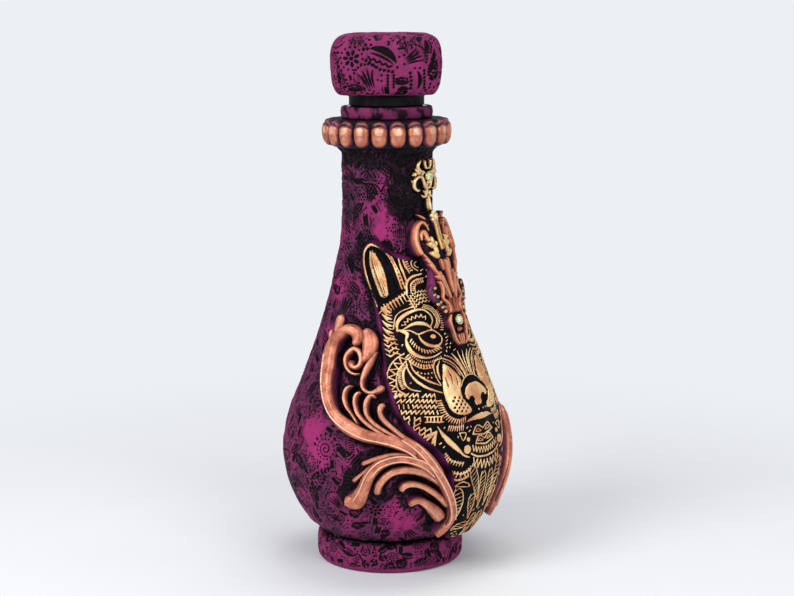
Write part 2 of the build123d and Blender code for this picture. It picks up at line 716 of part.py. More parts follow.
def make_scroll_space():
    """The room that a scroll needs beside the wolf, a little wider than the scroll."""
    widened = [(shares, width + 2 * bond_gap) for shares, width in trunk_branches + frond_branches]
    return stamped(joined_branches(widened, 1), -scroll_turn)


def make_scroll_buds():
    buds = []
    for shares in (bud_shares, small_bud_shares):
        bud = layer(scroll_branch(shares, frond_width), -scroll_turn, bond_gap, bud_proud)
        buds.append(only_solid(bud))
        buds.append(only_solid(mirrored(bud)))
    return buds


# Crest over the forehead: a plate, leaves, a bar, a flower, a set stone and a drop
crest_outline_shares = [
    (0.0, 0.96), (0.3, 0.94), (0.7, 1.0), (0.95, 0.96), (1.0, 0.84), (0.8, 0.72), (0.86, 0.62), (0.9, 0.53),
    (0.78, 0.43), (0.55, 0.37), (0.42, 0.26), (0.27, 0.15), (0.18, 0.07), (0.0, 0.0)]
crest_leaf_shares = [
    (0.5, 0.96, 0.3), (0.74, 0.965, 0.8), (0.86, 0.9, 1.0), (0.82, 0.81, 1.0), (0.66, 0.73, 0.8),
    (0.6, 0.66, 0.6), (0.7, 0.6, 0.9), (0.72, 0.53, 0.8), (0.6, 0.47, 0.4)]
crest_drop_shares = [(0.0, 0.0), (0.5, 0.5), (0.0, 1.0)]
crest_height = crest_high_height - crest_low_height
crest_top_height = crest_low_height + crest_height * crest_outline_shares[0][1]


def crest_point(angle_share, height_share):
    return seen(crest_half_angle * angle_share, crest_low_height + crest_height * height_share, 0)


def make_crest_plate():
    figure = make_face(Polyline(*both_sides([crest_point(*row) for row in crest_outline_shares])))
    plate = layer(figure, 0, detail_proud + bond_gap, crest_plate_proud)
    above_wolf = Pos(Y=wolf_high_height + bond_gap) * Rectangle(
        belly_radius, crest_height, align=(Align.CENTER, Align.MIN))
    return only_solid(plate + layer(figure & above_wolf, 0, bond_gap, crest_plate_proud))


def on_crest(outline, high_proud):
    """An outline laid on the crest's plate."""
    return only_solid(layer(outline, 0, crest_plate_proud + bond_gap, high_proud))


def make_crest_leaves():
    leaves = []
    for side in (-1, 1):
        rows = []
        for angle_share, height_share, width_share in crest_leaf_shares:
            across, height = crest_point(angle_share, height_share)
            rows.append((side * across, height, crest_leaf_width * width_share))
        leaves.append(on_crest(ribbon(rows), crest_leaf_proud))
    return leaves


def make_crest_bar():
    height = crest_top_height - crest_bar_low_height
    bar = Pos(Y=crest_bar_low_height + height / 2) * RectangleRounded(crest_bar_width, height, crest_bar_width / 3)
    return on_crest(bar, crest_bar_proud)


def make_crest_flower():
    flower = Pos(Y=crest_flower_height) * Circle(crest_petal_width)
    reach = crest_bar_low_height - crest_flower_height - crest_petal_width
    for index in range(crest_petal_count):
        share = 2 * index / (crest_petal_count - 1) - 1
        length = reach - crest_petal_width * abs(share) * 2
        petal = SlotCenterToCenter(length, crest_petal_width)
        lifted = Rot(Z=90 - crest_petal_fan * share) * Pos(X=length / 2) * petal
        flower += Pos(Y=crest_flower_height) * lifted
    return on_crest(flower, crest_leaf_proud)


def make_crest_setting():
    return on_crest(Pos(Y=crest_gem_height) * Circle(crest_setting_radius), crest_setting_proud)


def make_crest_drop():
    length = crest_drop_high_height - crest_drop_low_height
    half = [(crest_drop_width * out, crest_drop_low_height + length * up) for out, up in crest_drop_shares]
    return on_crest(make_face(Polyline(*both_sides(half))), crest_leaf_proud)


# Charm on the neck: four petals round a set stone, and the link that joins it to the crest
def make_neck_charm():
    figure = Sketch() + Circle(charm_setting_radius + charm_petal_radius / 2)
    for index in range(charm_petal_count):
        turn = Rot(Z=360 * index / charm_petal_count)
        figure += turn * Pos(X=charm_petal_reach - charm_petal_radius) * Circle(charm_petal_radius)
    return only_solid(layer(Pos(Y=charm_height) * figure, 0, bond_gap, charm_proud))


def make_charm_setting():
    rim = Pos(Y=charm_height) * Circle(charm_setting_radius)
    return only_solid(layer(rim, 0, charm_proud + bond_gap, charm_setting_proud))


def make_link():
    top = charm_height - charm_petal_reach - link_ball_radius - bond_gap
    knob_height = crest_top_height + link_knob_radius + seat_gap
    upper = on_skin(0, top, link_ball_radius + bond_gap)
    lower = on_skin(0, top - link_ball_radius * link_ball_step_share, link_ball_radius + bond_gap)
    knob = on_skin(0, knob_height, link_knob_proud)
    link = rod(lower, knob, link_wire_radius) + Location(upper) * Sphere(link_ball_radius)
    link += Location(lower) * Sphere(link_ball_radius)
    return only_solid(link + Location(knob) * Sphere(link_knob_radius))


scroll_left = make_scroll()
scroll_space = make_scroll_space()
crest_gem_seat = crest_setting_proud + bond_gap
charm_gem_seat = charm_setting_proud + bond_gap
nodes = {
    "glass_bottle": make_glass_bottle(),
    "body_cover": make_body_cover(),
    "foot_cover": make_foot_cover(),
    "lip_cover": make_lip_cover(),
    "collar_ring": make_collar_ring(),
    "collar_beads": Compound(children=make_collar_beads()),
    "stopper_block": make_stopper_block(),
    "stopper_cover": make_stopper_cover(),
    "stopper_base": make_stopper_base(),
    "stopper_shank": make_stopper_shank(),
    "shank_cap": make_shank_cap(),
    "seal_sleeve": make_seal_sleeve(),
    "wolf_casting": make_wolf_casting([scroll_space, mirrored(scroll_space)]),
    "scroll_left": scroll_left,
    "scroll_right": mirrored(scroll_left),
    "scroll_buds": Compound(children=make_scroll_buds()),
    "crest_plate": make_crest_plate(),
    "crest_leaves": Compound(children=make_crest_leaves()),
    "crest_bar": make_crest_bar(),
    "crest_flower": make_crest_flower(),
    "crest_setting": make_crest_setting(),
    "crest_gem": gem(0, crest_gem_height, crest_gem_radius, crest_gem_seat, crest_gem_proud),
    "crest_drop": make_crest_drop(),
    "neck_charm": make_neck_charm(),
    "charm_setting": make_charm_setting(),
    "charm_gem": gem(0, charm_height, charm_gem_radius, charm_gem_seat, charm_gem_proud),
    "charm_link": make_link(),
}
for node, shape in nodes.items():
    export_step(shape, "parts/" + node + ".step")
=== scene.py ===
import math

import bpy
import numpy as np
from mathutils import Matrix, Vector


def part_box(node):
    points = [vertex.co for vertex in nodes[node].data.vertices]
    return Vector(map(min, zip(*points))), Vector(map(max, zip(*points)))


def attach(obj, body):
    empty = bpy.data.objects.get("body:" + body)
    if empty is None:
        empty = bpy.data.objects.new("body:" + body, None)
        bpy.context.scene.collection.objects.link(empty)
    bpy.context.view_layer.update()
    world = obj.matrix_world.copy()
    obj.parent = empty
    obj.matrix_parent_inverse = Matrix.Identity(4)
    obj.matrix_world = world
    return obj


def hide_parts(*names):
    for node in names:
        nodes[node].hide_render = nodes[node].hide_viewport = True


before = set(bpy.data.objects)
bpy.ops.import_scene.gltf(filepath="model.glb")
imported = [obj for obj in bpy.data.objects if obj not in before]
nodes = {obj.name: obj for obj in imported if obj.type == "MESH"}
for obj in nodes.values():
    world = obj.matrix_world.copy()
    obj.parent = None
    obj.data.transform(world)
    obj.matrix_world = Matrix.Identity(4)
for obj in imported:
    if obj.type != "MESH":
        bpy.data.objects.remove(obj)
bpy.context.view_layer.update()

# Glass blank
# The bottle starts as a clear decanter, blown in a mould, with a thick foot and a ground mouth.
# The clay hides it all but the mouth, where the stopper's sleeve grips the bore.
MM = 0.001
full_turn = 2 * math.pi
scene = bpy.context.scene


def eased(values, low, high):
    share = np.clip((values - low) / (high - low), 0, 1)
    return share * share * (3 - 2 * share)


def srgb(red, green, blue):
    """A paint's colour as it looks on the piece, 0 to 255, turned into the shader's own scale."""
    shares = [value / 255 for value in (red, green, blue)]
    lifted = [share / 12.92 if share <= 0.04045 else ((share + 0.055) / 1.055) ** 2.4 for share in shares]
    return (*lifted, 1.0)


class Finish:
    """One finish, built up in layers the way the piece is painted."""

    def __init__(self, name, roughness=0.6, metallic=0.0):
        self.material = bpy.data.materials.new(name)
        self.material.use_nodes = True
        self.tree = self.material.node_tree
        self.shader = self.tree.nodes["Principled BSDF"]
        self.give({"Roughness": roughness, "Metallic": metallic})
        self.place = self.add("ShaderNodeTexCoord").outputs["Object"]

    def give(self, sockets, node=None):
        """Sets sockets of the finish, or of one node in it, to a value or to a pattern."""
        for socket, value in dict(sockets).items():
            target = (node or self.shader).inputs[socket]
            if isinstance(value, bpy.types.NodeSocket):
                self.tree.links.new(value, target)
            else:
                target.default_value = value

    def add(self, kind, sockets=(), **settings):
        node = self.tree.nodes.new(kind)
        for setting, value in settings.items():
            setattr(node, setting, value)
        self.give(sockets, node)
        return node

    def speckle(self, size, detail=2.0, stretch=(1, 1, 1), warp=0.0, rough=0.5):
        """A cloudy pattern whose patches are about size millimetres across."""
        spread = self.add("ShaderNodeMapping", {"Vector": self.place, "Scale": stretch}).outputs[0]
        return self.add("ShaderNodeTexNoise", {
            "Vector": spread, "Scale": 1 / (size * MM), "Detail": detail, "Distortion": warp,
            "Roughness": rough}).outputs["Fac"]

    def step(self, value, low, high, bottom=0.0, top=1.0):
        return self.add("ShaderNodeMapRange", {
            "Value": value, "From Min": low, "From Max": high, "To Min": bottom, "To Max": top},
            interpolation_type="SMOOTHSTEP").outputs["Result"]

    def blotches(self, size, low, high, bottom=0.0, top=1.0, **pattern):
        """The cloudy pattern with its soft edges drawn together: bottom below low, top above high."""
        return self.step(self.speckle(size, **pattern), low, high, bottom, top)

    def layer(self, name):
        """A layer that the mesh carries: how deep, how raised or how smeared each spot is."""
        return self.add("ShaderNodeAttribute", attribute_name=name).outputs["Fac"]

    def maths(self, operation, first, second):
        numbers = {0: first, 1: second}
        return self.add("ShaderNodeMath", numbers, operation=operation, use_clamp=True).outputs[0]

    def mix(self, share, under, over):
        return self.add("ShaderNodeMix", {0: share, 6: under, 7: over}, data_type="RGBA").outputs[2]

    def colour(self, value):
        self.give({"Base Color": value})

    def rough(self, value):
        self.give({"Roughness": value})

    def metal(self, value):
        self.give({"Metallic": value})

    def grain(self, value, depth, strength=1.0):
        """Fine unevenness of the surface, depth millimetres from its low to its high spots."""
        bump = self.add("ShaderNodeBump", {"Height": value, "Distance": depth * MM, "Strength": strength})
        self.give({"Normal": bump.outputs[0]})


def dress(node, finish):
    """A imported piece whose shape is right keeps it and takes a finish."""
    nodes[node].data.materials.clear()
    nodes[node].data.materials.append(finish.material)


glass = Finish("clear_glass", roughness=0.04)
glass.give({"IOR": 1.5, "Transmission Weight": 1.0})
glass.colour(glass.mix(glass.speckle(14), srgb(226, 236, 234), srgb(238, 244, 243)))
glass.grain(glass.speckle(9, detail=1), 0.15, strength=0.3)
dress("glass_bottle", glass)

# Clay skin
# A sheet of modelling clay is rolled round the glass and pressed with stamps while soft: leaves, teardrops,
# fans, spirals and rows of dots. Black goes into every cut, then magenta is dragged over the top.
skin_pitch = 0.45
skin_cut_depth = 0.7
skin_thickness = 2.5
curve_step = 3.5
usual_radius = 45
soft_edge = 0.35


def turned(reach, turns, heights):
    """Points of a turned piece; turns go round from the wolf's nose, in radians."""
    return np.stack([reach * np.sin(turns), -reach * np.cos(turns), heights + 0 * turns], -1)


def wrapped(turn):
    """A turn brought back to between half a turn left and half a turn right."""
    return (turn + math.pi) % full_turn - math.pi


class Curve:
    """The outside of a turned piece: radii and heights along the run of its outline."""

    def __init__(self, radii, heights, step=0.25):
        radii, heights = np.asarray(radii, float), np.asarray(heights, float)
        runs = np.concatenate([[0], np.cumsum(np.hypot(np.diff(radii), np.diff(heights)))])
        self.runs = np.arange(0, runs[-1] + step / 2, step)
        self.radii = self.faired(self.runs, runs, radii)
        self.heights = self.faired(self.runs, runs, heights)
        out, up = np.gradient(self.heights, self.runs), -np.gradient(self.radii, self.runs)
        length = np.hypot(out, up)
        self.out, self.up = out / length, up / length

    @staticmethod
    def faired(where, runs, values):
        """A smooth line through values that lie at uneven runs."""
        slopes = np.gradient(values, runs)
        at = np.clip(np.searchsorted(runs, where) - 1, 0, len(runs) - 2)
        span = runs[at + 1] - runs[at]
        share = (where - runs[at]) / span
        first = values[at] * (1 + 2 * share) * (1 - share) ** 2 + slopes[at] * span * share * (1 - share) ** 2
        last = share ** 2 * (values[at + 1] * (3 - 2 * share) + slopes[at + 1] * span * (share - 1))
        return first + last

    def radius(self, runs):
        return np.interp(runs, self.runs, self.radii)

    def height(self, runs):
        return np.interp(runs, self.runs, self.heights)

    def facing(self, runs):
        """How much the surface faces outwards and upwards at a run."""
        return np.interp(runs, self.runs, self.out), np.interp(runs, self.runs, self.up)

    def run(self, heights):
        """How far along the outline a height lies; the outline only climbs."""
        return np.interp(heights, self.heights, self.runs)

    def ring(self, angles):
        """Where angles lie round the piece, and how far out it reaches there as a share of its radius."""
        return angles, 1.0

    def place(self, angles, runs, proud):
        """Points in millimetres that stand proud of the outside."""
        turns, share = self.ring(angles)
        out, up = self.facing(runs)
        reach = np.interp(runs, self.runs, self.radii) * share + proud * out
        return turned(reach, turns, self.height(runs) + proud * up)


def packed_outline(node, step):
    """Radii and heights down the outside of a packed turned piece, in millimetres."""
    points = np.array([vertex.co for vertex in nodes[node].data.vertices]) / MM
    radii, heights = np.hypot(points[:, 0], points[:, 1]), points[:, 2]
    rows = []
    for low in np.arange(heights.min(), heights.max() + step, step):
        band = np.where(abs(heights - low) < step / 2)[0]
        if len(band):
            best = band[radii[band].argmax()]
            rows.append((radii[best], heights[best]))
    return np.array(rows).T


class Sheet:
    """A grid laid on a curve to draw on: columns go round the bottle, rows climb its outline."""

    def __init__(self, curve, pitch, low=None, high=None, left=-180.0, right=180.0):
        self.curve = curve
        self.wraps = right - left >= 360
        first = curve.runs[0] if low is None else curve.run(low)
        last = curve.runs[-1] if high is None else curve.run(high)
        self.runs = np.linspace(first, last, int((last - first) / pitch) + 1)
        self.radii = curve.radius(self.runs)
        self.heights = curve.height(self.runs)[:, None]
        count = int(math.radians(right - left) * self.radii.max() / pitch)
        self.angles = np.radians(np.linspace(left, right, count, endpoint=not self.wraps))
        self.shape = (len(self.runs), len(self.angles))

    def blank(self):
        return np.zeros(self.shape)

    def raised(self, proud):
        return self.curve.place(self.angles[None, :], self.runs[:, None], proud)

    def window(self, angle_low, angle_high, run_low, run_high):
        """The rows and columns between two angles and two runs."""
        rows = np.arange(*np.searchsorted(self.runs, (run_low, run_high)))
        step = self.angles[1] - self.angles[0]
        first = math.ceil((angle_low - self.angles[0]) / step)
        last = math.floor((angle_high - self.angles[0]) / step)
        if self.wraps:
            return rows, np.arange(first, last + 1) % len(self.angles)
        return rows, np.arange(max(first, 0), min(last, len(self.angles) - 1) + 1)

    def segment(self, start, end, margin):
        """Around a short straight line: its rows, columns, share along it and distance from it."""
        lean = margin / max(min(self.curve.radius(start[1]), self.curve.radius(end[1])), 1)
        rows, columns = self.window(min(start[0], end[0]) - lean, max(start[0], end[0]) + lean,
                                    min(start[1], end[1]) - margin, max(start[1], end[1]) + margin)
        radii = self.radii[rows][:, None]
        across = radii * wrapped(self.angles[columns][None, :] - start[0])
        up = self.runs[rows][:, None] - start[1]
        run_across, run_up = radii * (end[0] - start[0]), end[1] - start[1]
        length = np.maximum(run_across ** 2 + run_up ** 2, 1e-9)
        share = np.clip((across * run_across + up * run_up) / length, 0, 1)
        away = np.hypot(across - share * run_across, up - share * run_up)
        return np.ix_(rows, columns), share, away

    def stroke(self, drawing, points, widths, depth=1.0):
        """Draws one line on a drawing, as wide as widths say, and keeps what was already higher."""
        points = np.asarray(points, float)
        halves = np.broadcast_to(np.asarray(widths, float) / 2, len(points))
        if len(points) == 1:
            points, halves = np.repeat(points, 2, 0), np.repeat(halves, 2)
        for start, end, near, far in zip(points, points[1:], halves, halves[1:]):
            spot, share, away = self.segment(start, end, max(near, far) + soft_edge)
            within = near + (far - near) * share + soft_edge / 2 - away
            drawing[spot] = np.maximum(drawing[spot], depth * eased(within, 0, soft_edge))

    def nearness(self, points, reach):
        """Distance from a line, in millimetres, over the whole sheet and no more than reach."""
        distance = np.full(self.shape, float(reach))
        for start, end in zip(points, points[1:]):
            spot, _, away = self.segment(start, end, reach)
            distance[spot] = np.minimum(distance[spot], away)
        return distance

    def inside(self, outline, reach):
        """How far inside a closed outline each spot lies; outside it is negative."""
        points = np.vstack([outline, outline[:1]])
        distance = self.nearness(points, reach)
        odd = np.zeros(self.shape, bool)
        for start, end in zip(points, points[1:]):
            low, high = sorted((start, end), key=lambda point: point[1])
            rows = (self.runs > low[1]) & (self.runs <= high[1])
            if rows.any():
                share = (self.runs[rows] - low[1]) / (high[1] - low[1])
                crossing = low[0] + (high[0] - low[0]) * share
                odd[rows] ^= self.angles[None, :] > crossing[:, None]
        return np.where(odd, distance, -distance)


def faired_line(points, step=0.8, closed=False):
    """A smooth line through points of angle and run; any further columns, such as widths, go with them."""
    points = np.asarray(points, float)
    if closed:
        around = np.vstack([points[-1:], points, points[:2]])
    else:
        around = np.vstack([2 * points[0] - points[1], points, 2 * points[-1] - points[-2]])
    line = []
    for before, start, end, after in zip(around, around[1:], around[2:], around[3:]):
        length = math.hypot((end[0] - start[0]) * usual_radius, end[1] - start[1])
        count = max(int(length / step), 2)
        share = np.arange(count)[:, None] / count
        line.append(0.5 * (2 * start + (end - before) * share
                           + (2 * before - 5 * start + 4 * end - after) * share ** 2
                           + (3 * start - before - 3 * end + after) * share ** 3))
    return np.vstack(line + ([] if closed else [points[-1:]]))


def grid_faces(rows, columns, wraps):
    """Quads of a grid of points numbered row by row, facing out of the bottle."""
    number = np.arange(rows * columns).reshape(rows, columns)
    beside = np.roll(number, -1, axis=1) if wraps else number[:, 1:]
    here = number if wraps else number[:, :-1]
    return np.stack([here[:-1], beside[:-1], beside[1:], here[1:]], -1).reshape(-1, 4)


def build(name, points, faces, finish, layers=(), smooth=True):
    """A mesh piece from points in millimetres, with its finish and the layers its paint follows."""
    points = np.asarray(points, np.float32).reshape(-1, 3)
    mesh = bpy.data.meshes.new(name)
    mesh.vertices.add(len(points))
    mesh.vertices.foreach_set("co", (points * MM).ravel())
    mesh.loops.add(faces.size)
    mesh.loops.foreach_set("vertex_index", faces.astype(np.int32).ravel())
    mesh.polygons.add(len(faces))
    mesh.polygons.foreach_set("loop_start", np.arange(0, faces.size, faces.shape[1], dtype=np.int32))
    mesh.polygons.foreach_set("use_smooth", np.full(len(faces), smooth))
    mesh.update(calc_edges=True)
    mesh.validate()
    for layer, values in dict(layers).items():
        carried = mesh.attributes.new(layer, "FLOAT", "POINT").data
        carried.foreach_set("value", np.asarray(values, np.float32).ravel())
    mesh.materials.append(finish.material)
    piece = bpy.data.objects.new(name, mesh)
    scene.collection.objects.link(piece)
    return piece


def clay_wall(name, sheet, proud, thickness, cut=0.0, smear_and_shade=0.0, bright=0.0, back_count=24):
    """A turned wall of painted clay: the drawn outside, and a plain inside that shares its two rims."""
    outside = sheet.raised(proud)
    back_rows = np.linspace(sheet.runs[-1], sheet.runs[0], back_count)
    inside = sheet.curve.place(sheet.angles[None, :], back_rows[:, None], -thickness)
    points = np.vstack([outside.reshape(-1, 3), inside.reshape(-1, 3)])
    columns = sheet.shape[1]
    faces = grid_faces(sheet.shape[0] + len(back_rows), columns, True)
    number = np.arange(len(points)).reshape(-1, columns)
    last, first = number[-1], number[0]
    rim = np.stack([last, np.roll(last, -1), np.roll(first, -1), first], -1)
    layers = {"cut": cut, "smear_and_shade": np.clip(smear_and_shade, 0, 1), "bright": bright}
    spare = np.zeros(inside.shape[:2])
    carried = {key: np.vstack([values + sheet.blank(), spare]) for key, values in layers.items()}
    return build(name, points, np.vstack([faces, rim]), clay, carried)


def clouds(sheet, size, seed):
    """Seeded gentle unevenness over a sheet, from -1 to 1, with hills about size millimetres across."""
    random = np.random.default_rng(seed)
    angles, runs = sheet.angles[None, :], sheet.runs[:, None]
    total = sheet.blank()
    for _ in range(9):
        turns = random.integers(1, max(int(full_turn * sheet.radii.max() / size), 2))
        climb = random.uniform(-1, 1) * full_turn / size
        start = random.uniform(0, full_turn, 2)
        total += np.sin(turns * angles + start[0] + np.sin(runs * climb + start[1]) * 1.5)
    return total / 5


class Stamp:
    """One pressed figure: strokes and dots drawn about a centre, in millimetres, turned on the spot."""

    def __init__(self, sheet, drawing, angle, run, turn, bold=1.0):
        self.sheet, self.drawing = sheet, drawing
        self.angle, self.run, self.turn, self.bold = angle, run, turn, bold

    def lay(self, points):
        points = np.asarray(points, float).reshape(-1, 2)
        cosine, sine = math.cos(self.turn), math.sin(self.turn)
        across = points[:, 0] * cosine - points[:, 1] * sine
        runs = self.run + points[:, 0] * sine + points[:, 1] * cosine
        radii = np.maximum(self.sheet.curve.radius(runs), 4)
        return np.stack([self.angle + across / radii, runs], -1)

    def line(self, points, widths):
        self.sheet.stroke(self.drawing, self.lay(points), np.asarray(widths, float) * self.bold)

    def dots(self, points, width):
        for point in self.lay(points):
            self.sheet.stroke(self.drawing, [point], width * self.bold)

    def petal(self, start, end, width, bow=0.0):
        """A filled leaf shape from one point to another, bowed to one side."""
        start, end = np.array(start, float), np.array(end, float)
        share = np.linspace(0, 1, 7)[:, None]
        side = np.array([start[1] - end[1], end[0] - start[0]])
        points = start + (end - start) * share + side * bow * share * (1 - share) * 4
        self.line(points, width * np.sin(math.pi * share[:, 0]) ** 0.75 + 0.08)


def ring_of(count, radius, start=0.0, sweep=full_turn):
    """Points evenly spaced round part of a circle."""
    turns = start + np.arange(count) * sweep / count
    return np.stack([np.cos(turns) * radius, np.sin(turns) * radius], -1)


def spiral(turns, radius):
    share = np.linspace(0.12, 1, int(turns * 14))
    around = share * turns * 6.283
    return np.stack([np.cos(around), np.sin(around)], -1) * radius * share[:, None]


def teardrop(size):
    """The bent teardrop of woven shawls, as a closed line."""
    share = np.linspace(0, 1, 30)
    turns = share * full_turn
    fat = np.sin(turns / 2) ** 1.4
    across = np.sin(turns) * 0.52 * fat + 0.42 * (np.cos(turns / 2) ** 2) ** 2
    return np.stack([across, np.cos(turns) * 0.9], -1) * size


def press_teardrop(stamp, size):
    stamp.line(teardrop(size), 0.55)
    stamp.dots(teardrop(size * 1.32)[2:-2:2] + [0, -size * 0.05], 0.95)
    stamp.line(teardrop(size * 0.55) + [0, -size * 0.16], 0.5)
    stamp.dots([(0, -size * 0.3), (0, -size * 0.02)], 1.2)


def press_spiral(stamp, size):
    stamp.line(spiral(1.9, size * 0.72), 0.6)
    stamp.dots(ring_of(15, size * 0.98), 0.95)
    for point in ring_of(9, size * 1.22, sweep=math.pi * 1.2):
        stamp.petal(point, point * 1.3, 0.95)


def press_fan(stamp, size):
    for index in range(4):
        spread = index - 1.5
        tip = (spread * 0.5 * size, size * (0.9 - 0.12 * abs(spread)))
        stamp.petal((spread * 0.2 * size, -size), tip, size * 0.19 / stamp.bold, bow=0.05 * spread)
    stamp.dots(ring_of(8, size * 1.25, start=0.7, sweep=2.0), 1.0)


def press_shawl(stamp, size):
    """A teardrop filled with rows of dots, with a second row of them round it."""
    for share, count in ((1.3, 22), (1.0, 17), (0.68, 12), (0.36, 6)):
        line = teardrop(size * share)
        stamp.dots(line[np.linspace(1, len(line) - 2, count).astype(int)], 1.0)
    stamp.dots([(0, 0), (0, -size * 0.15)], 1.3)
    stamp.line(teardrop(size * 1.15)[6:24], 0.5)


def press_long_leaf(stamp, size):
    for bow in (-0.42, 0.42):
        edge = [(-size, 0), (-size * 0.4, bow * size * 0.8), (size * 0.3, bow * size * 0.8), (size, 0)]
        stamp.line(edge, [0.4, 0.75, 0.75, 0.4])
    stamp.petal((-size * 0.8, 0), (size * 0.85, 0), size * 0.13)
    for vein in (-0.5, -0.2, 0.1, 0.4):
        for side in (-1, 1):
            tip = (size * (vein + 0.17), side * size * (0.25 - 0.16 * abs(vein)))
            stamp.line([(size * vein, 0), tip], [0.5, 0.35])
    stamp.dots([(size * (0.3 * step - 0.9), -size * 0.62 + 0.08 * abs(step - 3)) for step in range(7)], 0.9)


def press_leaf(stamp, size):
    stamp.petal((-size, 0), (size, 0), size * 0.62, bow=0.16)
    stamp.line([(-size, -size * 0.42), (-size * 0.2, -size * 0.52), (size * 0.8, -size * 0.34)],
               [0.3, 0.6, 0.3])
    stamp.dots([(size * (0.28 * step - 0.8), size * 0.72 - 0.1 * abs(step - 3)) for step in range(7)], 0.95)


def press_braid(stamp, size):
    for index in range(8):
        along = size * (0.34 * index - 1.2)
        tall = size * 0.44 * math.sin(math.pi * (index + 1) / 9)
        stamp.line([(along, -tall), (along + size * 0.14, tall)], [0.55, 0.8])
        stamp.line([(along + 0.4, -tall - 0.9), (along + 0.3, -tall - 1.5)], 0.6)


def press_flower(stamp, size):
    for point in ring_of(7, size * 0.3):
        stamp.petal(point, point * 2.7, size * 0.24)
    stamp.dots([(0, 0)], size * 0.3)
    stamp.dots(ring_of(14, size * 1.08), 0.9)


def press_rings(stamp, size):
    stamp.line(np.vstack([ring_of(12, size * 0.34), ring_of(1, size * 0.34)]), 0.5)
    stamp.line([(-size, size * 0.4), (-size * 0.6, -size * 0.5), (-size * 0.1, -size * 0.86)], [0.4, 0.9, 0.4])
    stamp.dots([(size * 0.75, size * (0.3 * step - 0.7)) for step in range(5)], 1.0)
    stamp.dots([(size * (0.3 * step - 0.5), size * 0.8) for step in range(4)], 0.9)


large_stamps = [press_teardrop, press_spiral, press_fan, press_flower, press_shawl]
small_stamps = [press_leaf, press_braid, press_rings]


def press_all(sheet, drawing, seed, sizes, spacing, kinds, keep_off, bold, tries=2600):
    """Presses stamps of given sizes wherever there is room, from a seeded draw."""
    random = np.random.default_rng(seed)
    for _ in range(tries):
        run = random.uniform(sheet.runs[0], sheet.runs[-1])
        angle = random.uniform(-math.pi, math.pi)
        turn, share, pick = random.uniform(0, full_turn), random.uniform(0, 1), random.integers(len(kinds))
        size = sizes[0] + (sizes[1] - sizes[0]) * share
        radius = sheet.curve.radius(run)
        for other_angle, other_run, other_size in keep_off:
            gap = wrapped(angle - other_angle) * radius
            if gap * gap + (run - other_run) ** 2 < (spacing * (size + other_size)) ** 2:
                break
        else:
            keep_off.append((angle, run, size))
            kinds[pick](Stamp(sheet, drawing, angle, run, turn, bold), size)


def fill_with_dots(sheet, drawing, seed, pitch, width, crowded):
    """Small pricked dots in the room that is left, thick where crowded is high."""
    random = np.random.default_rng(seed)
    taken = drawing > 0.02
    reach = max(int(1.1 / (sheet.runs[1] - sheet.runs[0])), 1)
    for axis in (0, 1):
        spread = taken.copy()
        for shift in range(1, reach + 1):
            spread |= np.roll(taken, shift, axis) | np.roll(taken, -shift, axis)
        taken = spread
    for index, run in enumerate(np.arange(sheet.runs[0] + pitch, sheet.runs[-1] - pitch, pitch * 0.88)):
        count = max(int(full_turn * sheet.curve.radius(run) / pitch), 3)
        wobble = random.uniform(-0.22, 0.22, (count, 2)) * pitch
        chance = random.uniform(0, 1, count)
        for step in range(count):
            angle = (step + 0.5 * (index % 2)) / count * full_turn - math.pi + wobble[step, 0] / usual_radius
            spot = run + wobble[step, 1]
            row = int(np.clip(np.searchsorted(sheet.runs, spot), 0, sheet.shape[0] - 1))
            column = int((angle - sheet.angles[0]) / full_turn * sheet.shape[1]) % sheet.shape[1]
            if not taken[row, column] and chance[step] < crowded[row, column]:
                sheet.stroke(drawing, [(angle, spot)], width * (0.75 + 0.5 * chance[step]))


skin_curve = Curve(*packed_outline("body_cover", curve_step))
skin = Sheet(skin_curve, skin_pitch)
skin_cuts = skin.blank()
pressed = []
leaf_height, leaf_turn, leaf_spacing, leaf_size = 31.1, 0.0, 14.5, 5.0
leaf_top, golden_turn = 222.1, 360 * 0.381966
casting_reach = [(148, 110), (191, 87.5), (leaf_top, 37)]
while leaf_height < leaf_top:
    run = float(skin_curve.run(leaf_height))
    angle = (leaf_turn + 180) % 360 - 180
    if abs(angle) >= next(reach for top, reach in casting_reach if leaf_height < top):
        lean = math.radians(38 if len(pressed) % 2 else -38)
        press_long_leaf(Stamp(skin, skin_cuts, math.radians(angle), run, lean, 1.3), leaf_size)
        pressed.append((math.radians(angle), run, leaf_size * 0.8))
    leaf_height += leaf_spacing ** 2 / (full_turn * float(skin_curve.radius(run)))
    leaf_turn += golden_turn
for angle, height, size, turn, kind in (
        (89, 72, 5.6, 0.4, press_spiral), (93, 57, 8.4, 0.5, press_shawl), (71, 68, 5.4, 0.6, press_braid),
        (79.5, 71, 4.2, 0.7, press_leaf), (61, 40, 4.6, 2.6, press_flower), (84, 43, 5.0, -0.6, press_fan),
        (74, 205, 4.6, 0.3, press_fan), (101, 166, 5.4, 0.9, press_leaf), (97, 146, 5.8, 0.2, press_fan)):
    for side in (-1, 1):
        place = (math.radians(angle) * side, float(skin_curve.run(height)), size)
        kind(Stamp(skin, skin_cuts, *place[:2], turn * side, 1.3), size)
        pressed.append(place)
bright_spots = [
    (101, 80, 15), (94, 70, 12), (51, 39, 11), (45, 31, 9), (52, 195, 9), (58, 186, 9), (111, 153, 9),
    (107, 128, 10)]
dark_spots = [
    (101, 96, 13), (91, 107, 10), (125, 47, 16), (122, 78, 9), (130, 62, 14), (112, 193, 12), (100, 172, 12),
    (106, 212, 14), (128, 206, 15), (75, 216, 10), (84, 168, 9), (82, 134, 10), (92, 149, 9), (132, 24, 12),
    (76, 45, 9), (142, 150, 16), (150, 110, 18), (160, 190, 15)]


